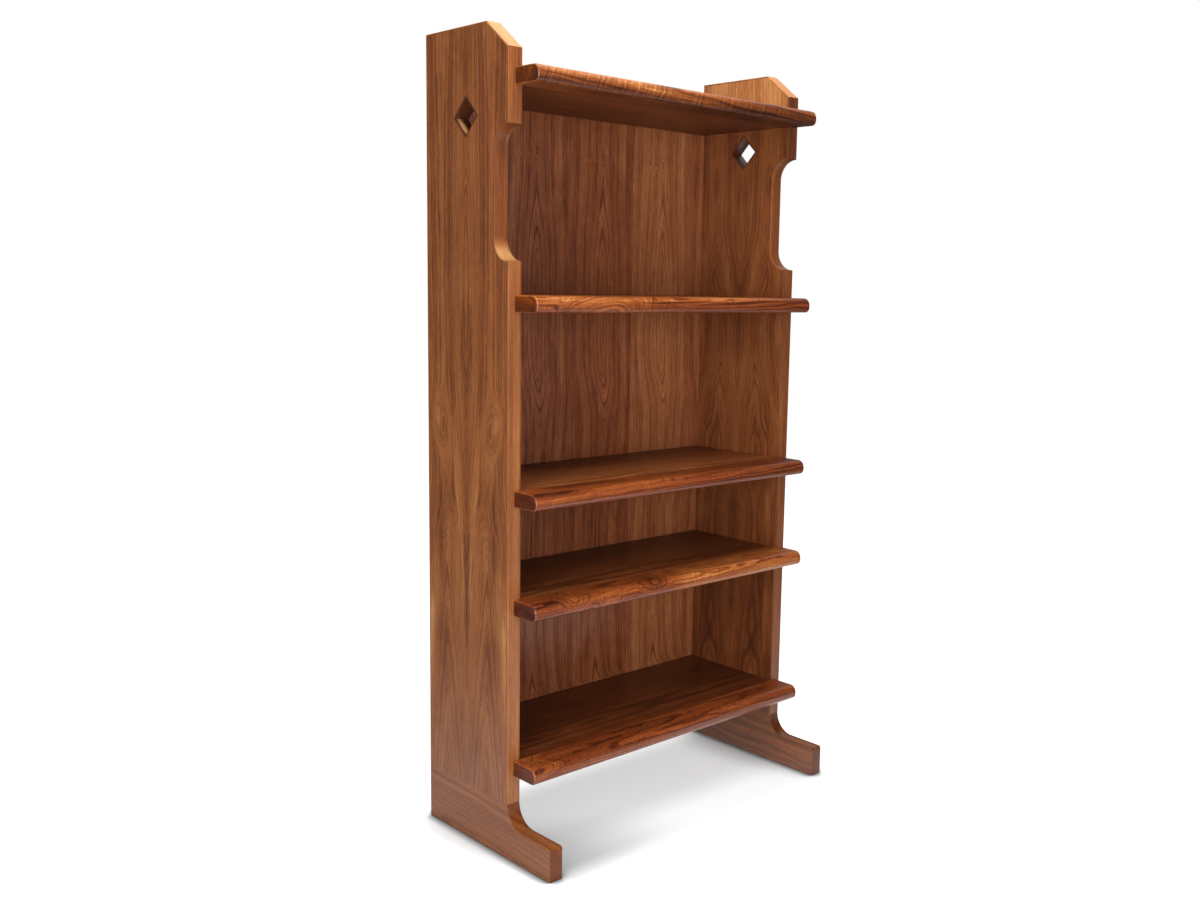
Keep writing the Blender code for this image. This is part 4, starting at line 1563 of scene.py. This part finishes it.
@dataclass(frozen=True)
class RailFoot:
    """A solid foot that sweeps forward from its side in a quarter circle to a low toe.

    Attributes:
        hand: Left or right.
        sizes: Sizes of the bookcase.
        toe_radius: Radius of the toe's upper corner.
        arris: Radius of the eased edges.
        steps: Steps in an eased edge, in the toe's upper corner and in the sweep.
        grain_rise: Slope of the grain toward the back.
        stock: Place of the right foot in its plank, in millimetres. The left foot's first number is
            the opposite.
    """

    hand: Hand
    sizes: Measures
    toe_radius: float = 0.007
    arris: float = 0.0020
    steps: tuple[int, int, int] = (4, 10, 32)
    grain_rise: float = 0.04
    stock: tuple[float, float, float] = (700.0, 18.0, 95.0)

    def outline(self) -> Points:
        """Outline in the YZ plane, anticlockwise from the joint's back end.

        Returns:
            Points from the side's plane forward along the sweep, round the toe and back underneath.
        """
        s = self.sizes
        few, more, most = self.steps
        radius, corner, ease = s.foot_height - s.toe_height, self.toe_radius, self.arris
        sweep = arc((-radius, s.foot_height), radius, 0.0, -90.0, most)
        toe = arc((corner - s.toe_length, s.toe_height - corner), corner, 90.0, 180.0, more)
        tip = arc((ease - s.toe_length, ease), ease, 180.0, 270.0, few)
        rear = arc((s.side_depth - ease, ease), ease, 270.0, 360.0, few)
        return np.concatenate([sweep, toe, tip, rear, [(s.side_depth, s.foot_height)]])

    def build(self, finish: Material) -> None:
        """Build the foot.

        Args:
            finish: Solid walnut.
        """
        s = self.sizes
        outline = self.outline()
        inward = into_wood(outline)
        inward[[0, -1]] = ((1.0, 0.0), (-1.0, 0.0))
        half = s.board / 2
        along, across, through = self.stock
        stock = Stock(
            (0.0, 1.0, self.grain_rise),
            (0.0, -self.grain_rise, 1.0),
            (1.0, 0.0, 0.0),
            offset=(along * self.hand.value, across, through),
        )
        patches = eased_slab(outline, inward, (-half, half), self.arris, self.steps[0], stock)
        place = Side(self.hand, s).place
        make_piece(f"{self.hand.word}_foot", patches, place, (finish,))


@dataclass(frozen=True)
class Shelf:
    """A shelf: a board between the sides and a rounded nosing that laps over their front edges.

    Attributes:
        name: Name of the shelf in the CAD model.
        top: Height of its top face.
        sizes: Sizes of the bookcase.
        number: Place in the row of shelves, which gives each its own stretch of wood.
        top_radius: Radius of the nosing's upper front.
        bottom_radius: Radius of its lower front.
        end_arris: Radius of the eased edges round the nosing's ends.
        steps: Steps in those eased edges, in the lower front and in the upper front.
        board_stock: Place of the board before the bottom one across and through its log, in
            millimetres.
        nosing_depth_step: How much deeper in its log each nosing lay than the one before.
    """

    name: str
    top: float
    sizes: Measures
    number: int
    top_radius: float = 0.018
    bottom_radius: float = 0.013
    end_arris: float = 0.003
    steps: tuple[int, int, int] = (6, 16, 20)
    board_stock: tuple[float, float] = (-110.0, 160.0)
    nosing_depth_step: float = 7.0

    @property
    def place(self) -> Place:
        """Where the shelf stands: the middle of its thickness, at the sides' front edges."""
        return Place((0.0, self.sizes.front, self.top - self.sizes.board / 2))

    def build(self, board: Material, nosing: Material) -> None:
        """Build the board and the nosing.

        Args:
            board: Finish of the board.
            nosing: Finish of the nosing.
        """
        make_piece(f"{self.name}_board", self.board(), self.place, (board,))
        make_piece(f"{self.name}_nosing", self.nosing(), self.place, (nosing,))

    def board(self) -> list[Patch]:
        """The board, with a rabbet for the back where it is the top or the bottom one.

        Returns:
            Its patches.
        """
        s = self.sizes
        half = s.board / 2
        face = s.back_face - s.joint
        step = s.rabbet_height - half
        rear = {
            "top_shelf": [(face, -half), (face, step), (s.side_depth, step), (s.side_depth, half)],
            "bottom_shelf": [(s.side_depth, -half), (s.side_depth, -step), (face, -step), (face, half)],
        }.get(self.name, [(face, -half), (face, half)])
        outline = np.array([(0.0, half), (0.0, -half), *rear])
        inward = into_wood(outline)
        inward[:2, 0] = 0.0
        reach = s.inner_half - s.joint
        along, across = (step * self.number for step in BOARD_STEP)
        stock = Stock(
            (1.0, 0.0, 0.0),
            (0.0, 1.0, 0.0),
            (0.0, 0.0, -1.0),
            offset=(along, self.board_stock[0] + across, self.board_stock[1]),
        )
        return eased_slab(outline, inward, (-reach, reach), BROKEN_EDGE, BROKEN_STEPS, stock)

    def nosing(self) -> list[Patch]:
        """The nosing: its section carried along X, with quarter circles at its two front corners.

        Returns:
            Its patches.
        """
        s = self.sizes
        half, depth, joint = s.board / 2, s.nosing_depth, -s.joint
        upper, lower = self.top_radius, self.bottom_radius
        few, more, most = self.steps
        top = arc((upper - depth, half - upper), upper, 90.0, 180.0, most)
        bottom = arc((lower - depth, lower - half), lower, 180.0, 270.0, more)
        outline = np.concatenate([[(joint, half), (-upper * 2, half)], top, bottom, [(joint, -half)]])
        inward = into_wood(outline)
        inward[[0, -1]] = ((0.0, -1.0), (0.0, 1.0))
        reach = s.inner_half + s.nosing_lap
        stock = Stock(
            (1.0, 0.0, 0.0),
            (GRAIN_RISE[self.name], 0.0, 1.0),
            (0.0, -1.0, 0.0),
            offset=(NOSING_STEP * self.number + reach / MM, 0.0, self.nosing_depth_step * self.number),
        )
        return eased_slab(outline, inward, (-reach, reach), self.end_arris, few, stock)


@dataclass(frozen=True)
class Back:
    """The thin back, let into the sides and into the top and the bottom shelf.

    Attributes:
        sizes: Sizes of the bookcase.
        stock: Place of its upper left corner in the leaves, in millimetres.
    """

    sizes: Measures
    stock: tuple[float, float, float] = (0.0, 49.0, 3000.0)

    def build(self, finish: Material) -> None:
        """Build the back: a thin slab whose veneer leaves stand upright.

        Args:
            finish: Veneer of the back.
        """
        s = self.sizes
        low, high = s.rabbet_ends
        low, high = low + s.joint, high - s.joint
        reach = s.inner_half + s.rabbet_width - s.joint
        front, rear = s.back_face, s.side_depth
        outline = np.array([(front, high), (front, low), (rear, low), (rear, high)])
        corner = (-s.inner_half, 0.0, SHELF_TOPS["top_shelf"] - s.board)
        stock = Stock((0.0, 0.0, -1.0), (1.0, 0.0, 0.0), (0.0, 1.0, 0.0), corner, self.stock)
        inward = into_wood(outline)
        patches = eased_slab(outline, inward, (-reach, reach), BROKEN_EDGE, BROKEN_STEPS, stock)
        make_piece("back_panel", patches, Place((0.0, s.front, 0.0)), (finish,))


@dataclass(frozen=True)
class Nook:
    """Painted shade on the floor where something stands near it, set by how open its view is.

    Attributes:
        way: Direction in which each point of the floor looks round.
        distance: How far it looks, in metres.
        open_shares: Open share of that view at which the dimming is full, and at which it ends.
        least: Light that is left where it is full.
    """

    way: tuple[float, float, float]
    distance: float
    open_shares: tuple[float, float]
    least: float


@dataclass(frozen=True)
class Studio:
    """Camera at the photograph's angle, plain soft light, a pale floor and a white background.

    Attributes:
        eye: Place of the camera.
        turn: Yaw about Z, pitch and roll of the camera in degrees; at zero it looks along +Y.
        lens: Focal length in millimetres on a 36 mm frame.
        shift: Shift of the lens, as a share of the frame's width.
        room_light: Strength of the weak even light from all round.
        mirrored_room: What the wood mirrors at eye height, and near the zenith.
        mirrored_backdrop: What the high backdrop adds to that.
        floor_size: Edge of the floor in metres.
        floor_gap: How far the floor lies under the feet.
        paper: Colour of the floor.
        open_glow: Glow of the paper near the bookcase, for the camera alone, which rises to white.
        shaded_glow: The same between the feet, in the painted shade.
        shaded_paper: Light that is left to the paper in that painted shade.
        toe_shade: Share of the light that the left toe's painted shade takes away.
        contact: Painted shade under the feet.
        lee: Painted shade on the floor on the far side of the pieces from the left lamp.
    """

    eye: tuple[float, float, float] = (-2.01970, -2.17714, 1.28970)
    turn: tuple[float, float, float] = (-43.97031, -7.85153, -1.15328)
    lens: float = 36.54445
    shift: tuple[float, float] = (-0.05361, 0.00170)
    room_light: float = 0.05
    mirrored_room: tuple[float, float] = (0.14, 0.05)
    mirrored_backdrop: float = 0.95
    floor_size: float = 30.0
    floor_gap: float = 0.0002
    paper: str = "#EAEEEF"
    open_glow: float = 0.72
    shaded_glow: float = 0.56
    shaded_paper: float = 0.6
    toe_shade: float = 0.48
    contact: Nook = Nook((0.0, 0.0, 1.0), 0.025, (0.45, 1.0), 0.25)
    lee: Nook = Nook((-0.78, -0.2, 0.6), 0.19, (0.35, 0.88), 0.6)

    def camera(self) -> None:
        """Set up the camera. Its turn is yaw, then pitch, then roll, from a view along +Y."""
        data = bpy.data.cameras.new("camera")
        data.lens = self.lens
        data.sensor_width = 36.0
        data.shift_x, data.shift_y = self.shift
        data.clip_end = 100.0
        made = bpy.data.objects.new("camera", data)
        yaw, pitch, roll = (math.radians(angle) for angle in self.turn)
        turn = (
            Matrix.Rotation(yaw, 4, "Z")
            @ Matrix.Rotation(pitch, 4, "X")
            @ Matrix.Rotation(roll, 4, "Y")
            @ Matrix.Rotation(math.pi / 2, 4, "X")
        )
        made.matrix_world = Matrix.Translation(self.eye) @ turn
        bpy.context.scene.collection.objects.link(made)
        bpy.context.scene.camera = made

    def softbox(
        self, name: str, place: tuple[float, float, float], aim: tuple[float, float, float],
        size: tuple[float, float], power: float, mirrored: bool = True,
    ) -> None:
        """Hang one rectangular lamp.

        Args:
            name: Name of the lamp.
            place: Where it hangs.
            aim: Point that it faces.
            size: Width and height in metres.
            power: Power in watts.
            mirrored: Whether it shows in reflections.
        """
        data = bpy.data.lights.new(name, "AREA")
        data.shape = "RECTANGLE"
        data.size, data.size_y = size
        data.energy = power
        made = bpy.data.objects.new(name, data)
        made.location = place
        made.rotation_euler = (Vector(aim) - Vector(place)).to_track_quat("-Z", "Y").to_euler()
        made.visible_glossy = mirrored
        bpy.context.scene.collection.objects.link(made)

    def world(self) -> None:
        """Light the scene weakly from all round, and show white to the camera.

        The wood mirrors a dim room with a bright backdrop high behind the bookcase, which gleams on
        what faces up and forward.
        """
        world = bpy.data.worlds.new("studio")
        world.use_nodes = True
        tree = world.node_tree
        tree.nodes.clear()
        rays = add_node(tree, "ShaderNodeLightPath")
        seen = add_node(
            tree,
            "ShaderNodeMath",
            (rays.outputs["Is Camera Ray"], rays.outputs["Is Transmission Ray"]),
            operation="MAXIMUM",
        )
        way = add_node(tree, "ShaderNodeTexCoord").outputs["Generated"]
        parts = add_node(tree, "ShaderNodeSeparateXYZ", (way,))
        rearward, height = parts.outputs[1], parts.outputs[2]
        level, zenith = self.mirrored_room
        room = add_node(
            tree, "ShaderNodeMapRange", {"Value": height, "From Max": 0.9, "To Min": level, "To Max": zenith}
        )
        high = add_node(
            tree,
            "ShaderNodeMapRange",
            {"Value": height, "From Min": 0.38, "From Max": 0.6, "To Max": self.mirrored_backdrop},
            interpolation_type="SMOOTHSTEP",
        )
        behind = add_node(
            tree,
            "ShaderNodeMapRange",
            {"Value": rearward, "From Max": 0.3},
            interpolation_type="SMOOTHSTEP",
        )
        room = add_node(tree, "ShaderNodeMath", (high, behind, room), operation="MULTIPLY_ADD")
        mirrored = add_node(
            tree, "ShaderNodeMath", (rays.outputs["Is Glossy Ray"], room), operation="MULTIPLY"
        )
        seen = add_node(tree, "ShaderNodeMath", (seen, mirrored), operation="MAXIMUM")
        strength = add_node(tree, "ShaderNodeMath", (seen, self.room_light), operation="MAXIMUM")
        sky = add_node(tree, "ShaderNodeBackground", {"Color": linear("#FFFFFF"), "Strength": strength})
        add_node(tree, "ShaderNodeOutputWorld", {"Surface": sky})
        bpy.context.scene.world = world

    def floor(self) -> None:
        """Lay the floor: a wide square of paper just under the feet."""
        half = self.floor_size / 2
        corners = np.array([(-half, -half), (half, -half), (half, half), (-half, half)])
        points = np.concatenate([corners, np.full((4, 1), -self.floor_gap)], axis=1)
        mesh = bpy.data.meshes.new("floor")
        mesh.from_pydata(points.tolist(), [], [(0, 1, 2, 3)])
        mesh.materials.append(self._paper())
        made = bpy.data.objects.new("floor", mesh)
        bpy.context.scene.collection.objects.link(made)

    def _paper(self) -> Material:
        """Matt white paper: lamps' shadows, painted shade by the feet, clearing to white round the case.

        Returns:
            The material, which reads Object coordinates.
        """
        material, output = blank_material("studio_paper")
        tree = material.node_tree
        rays = add_node(tree, "ShaderNodeLightPath")
        spot = add_node(tree, "ShaderNodeTexCoord").outputs["Object"]
        away = add_node(tree, "ShaderNodeVectorMath", (spot,), operation="LENGTH").outputs["Value"]
        contact, lee = (self._nook(tree, nook) for nook in (self.contact, self.lee))
        shaded, toe = self._shades(tree, spot, rays.outputs["Is Camera Ray"])
        past_toe = add_node(tree, "ShaderNodeMath", (toe, -self.toe_shade, 1.0), operation="MULTIPLY_ADD")

        # Painted shade: the paper's colour is dimmed under the feet, beside them and between them.
        dim = add_node(tree, "ShaderNodeMapRange", {"Value": contact, "To Min": self.contact.least})
        dim = add_node(tree, "ShaderNodeMath", (dim, past_toe), operation="MULTIPLY")
        for value, first, last in ((lee, self.lee.least, 1.0), (shaded, 1.0, self.shaded_paper)):
            share = add_node(tree, "ShaderNodeMapRange", {"Value": value, "To Min": first, "To Max": last})
            dim = add_node(tree, "ShaderNodeMath", (dim, share), operation="MULTIPLY")
        # Paper far from the bookcase stays dim in what the wood mirrors.
        far = add_node(
            tree, "ShaderNodeMapRange", {"Value": away, "From Min": 0.7, "From Max": 1.6, "To Max": 0.7}
        )
        far = add_node(tree, "ShaderNodeMath", (far, rays.outputs["Is Glossy Ray"]), operation="MULTIPLY")
        far = add_node(tree, "ShaderNodeMath", (1.0, far), operation="SUBTRACT")
        dim = add_node(tree, "ShaderNodeMath", (dim, far), operation="MULTIPLY")
        colour = add_node(
            tree, "ShaderNodeVectorMath", {0: linear(self.paper)[:3], "Scale": dim}, operation="SCALE"
        )
        paper = add_node(tree, "ShaderNodeBsdfPrincipled", {"Base Color": colour, "Roughness": 0.9})

        # The camera's glow is lowered in the same painted shade.
        near_glow = add_node(
            tree,
            "ShaderNodeMapRange",
            {"Value": shaded, "To Min": self.open_glow, "To Max": self.shaded_glow},
        )
        near_glow = add_node(tree, "ShaderNodeMath", (near_glow, past_toe), operation="MULTIPLY")
        open_floor = add_node(tree, "ShaderNodeMath", (contact, lee), operation="MULTIPLY")
        side = add_node(
            tree, "ShaderNodeVectorMath", (spot, (1.0, -0.5, 0.0)), operation="DISTANCE"
        ).outputs["Value"]
        # The camera sees the floor rise to white, and the wood mirrors it near by and at its right front.
        lift = 0.0
        for ray, distance, start, end, first, last, share in (
            ("Is Camera Ray", away, 0.9, 2.6, near_glow, 1.0, open_floor),
            ("Is Glossy Ray", away, 0.7, 1.5, 0.2, 0.0, 1.0),
            ("Is Glossy Ray", side, 0.7, 1.3, 0.6, 0.0, 1.0),
        ):
            faded = add_node(
                tree,
                "ShaderNodeMapRange",
                {"Value": distance, "From Min": start, "From Max": end, "To Min": first, "To Max": last},
                interpolation_type="SMOOTHSTEP",
            )
            faded = add_node(tree, "ShaderNodeMath", (faded, share), operation="MULTIPLY")
            lift = add_node(
                tree, "ShaderNodeMath", (rays.outputs[ray], faded, lift), operation="MULTIPLY_ADD"
            )
        glow = add_node(tree, "ShaderNodeEmission", {"Color": linear("#FFFFFF"), "Strength": lift})
        both = add_node(tree, "ShaderNodeAddShader", (paper, glow))
        tree.links.new(both.outputs[0], output.inputs["Surface"])
        return material

    def _nook(self, tree: Tree, nook: Nook) -> Node:
        """Open share of the view that a point of the floor has.

        Args:
            tree: Node tree.
            nook: Where and how far it looks.

        Returns:
            A node whose output is 0 where the dimming is full and 1 where there is none.
        """
        around = add_node(
            tree, "ShaderNodeAmbientOcclusion", {"Distance": nook.distance, "Normal": nook.way}, samples=8
        )
        full, none = nook.open_shares
        return add_node(
            tree, "ShaderNodeMapRange", {"Value": around.outputs["AO"], "From Min": full, "From Max": none}
        )

    def _shades(self, tree: Tree, spot: Socket, seen: Socket) -> list[Node]:
        """Soft shades painted on the floor, which the camera alone sees.

        The case's shade lies between the feet, up to the tips of the toes. The left toe's own shade
        lies to its right and ends with it, in an oval round the toe. Each is a product of smooth
        steps of a measure in metres, from where the shade begins to where it is full.

        Args:
            tree: Node tree.
            spot: Place on the floor.
            seen: 1 for what the camera sees, or else 0.

        Returns:
            The case's shade and the toe's, 1 where they are full.
        """
        parts = add_node(tree, "ShaderNodeSeparateXYZ", (spot,))
        aside = add_node(tree, "ShaderNodeMath", (parts.outputs[0],), operation="ABSOLUTE")
        depth = parts.outputs[1]
        squeezed = add_node(tree, "ShaderNodeVectorMath", (spot, (1.0, 1.5, 1.0)), operation="MULTIPLY")
        from_toe = add_node(
            tree, "ShaderNodeVectorMath", (squeezed, (-0.40, -0.30, 0.0)), operation="DISTANCE"
        ).outputs["Value"]
        within_feet = (aside, 0.46, 0.40)
        shades = []
        for steps in (
            (within_feet, (depth, -0.38, -0.22), (depth, 0.24, 0.14)),
            (within_feet, (depth, -0.28, -0.19), (from_toe, 0.42, 0.0)),
        ):
            shade = seen
            for measure, begins, full in steps:
                share = add_node(
                    tree,
                    "ShaderNodeMapRange",
                    {"Value": measure, "From Min": begins, "From Max": full},
                    interpolation_type="SMOOTHSTEP",
                )
                shade = add_node(tree, "ShaderNodeMath", (shade, share), operation="MULTIPLY")
            shades.append(shade)
        return shades

    def build(self) -> None:
        """Set up the camera, the lamps, the world and the floor."""
        bpy.context.scene.view_settings.view_transform = "Standard"
        self.camera()
        self.softbox("overhead", (-0.15, -0.35, 3.2), (-0.1, -0.2, 1.0), (2.2, 2.7), 105.0, mirrored=False)
        self.softbox("front", (-0.8, -3.5, 1.25), (0.0, 0.0, 0.95), (1.8, 1.6), 55.0)
        self.softbox("left", (-3.4, -1.6, 1.4), (0.0, 0.0, 0.9), (1.6, 2.0), 72.0)
        self.world()
        self.floor()


def dress_hidden_joinery(finish: Material) -> None:
    """Give every CAD node that still shows, the tenons and the splines, the bare beech finish.

    Args:
        finish: Beech.
    """
    for name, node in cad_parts.items():
        if "tenon" in name or "spline" in name:
            for slot in node.material_slots:
                slot.material = finish
            LOG.info("%s: kept from the CAD model", name)


def main() -> None:
    """Build the studio and every piece of the bookcase in order."""
    logging.basicConfig(level=logging.INFO, format="%(name)s %(message)s")
    sizes = Measures()
    Studio().build()
    outer, inner, back = OUTER_LEAF.material(), INNER_LEAF.material(), BACK_LEAF.material()
    board, nosing, curly = BOARD.material(), NOSING.material(), CURLY.material()
    rail, edging, lining = RAIL.material(), EDGING.material(), LINING.material()
    for hand in Hand:
        Side(hand, sizes, leaf_offset=400.0 * hand.value).build(outer, inner, edging, lining)
        RailFoot(hand, sizes).build(rail)
    for number, (name, top) in enumerate(SHELF_TOPS.items(), start=1):
        Shelf(name, top, sizes, number).build(board, curly if name == "top_shelf" else nosing)
    Back(sizes).build(back)
    dress_hidden_joinery(Beech().material())


if __name__ == "__main__":
    main()
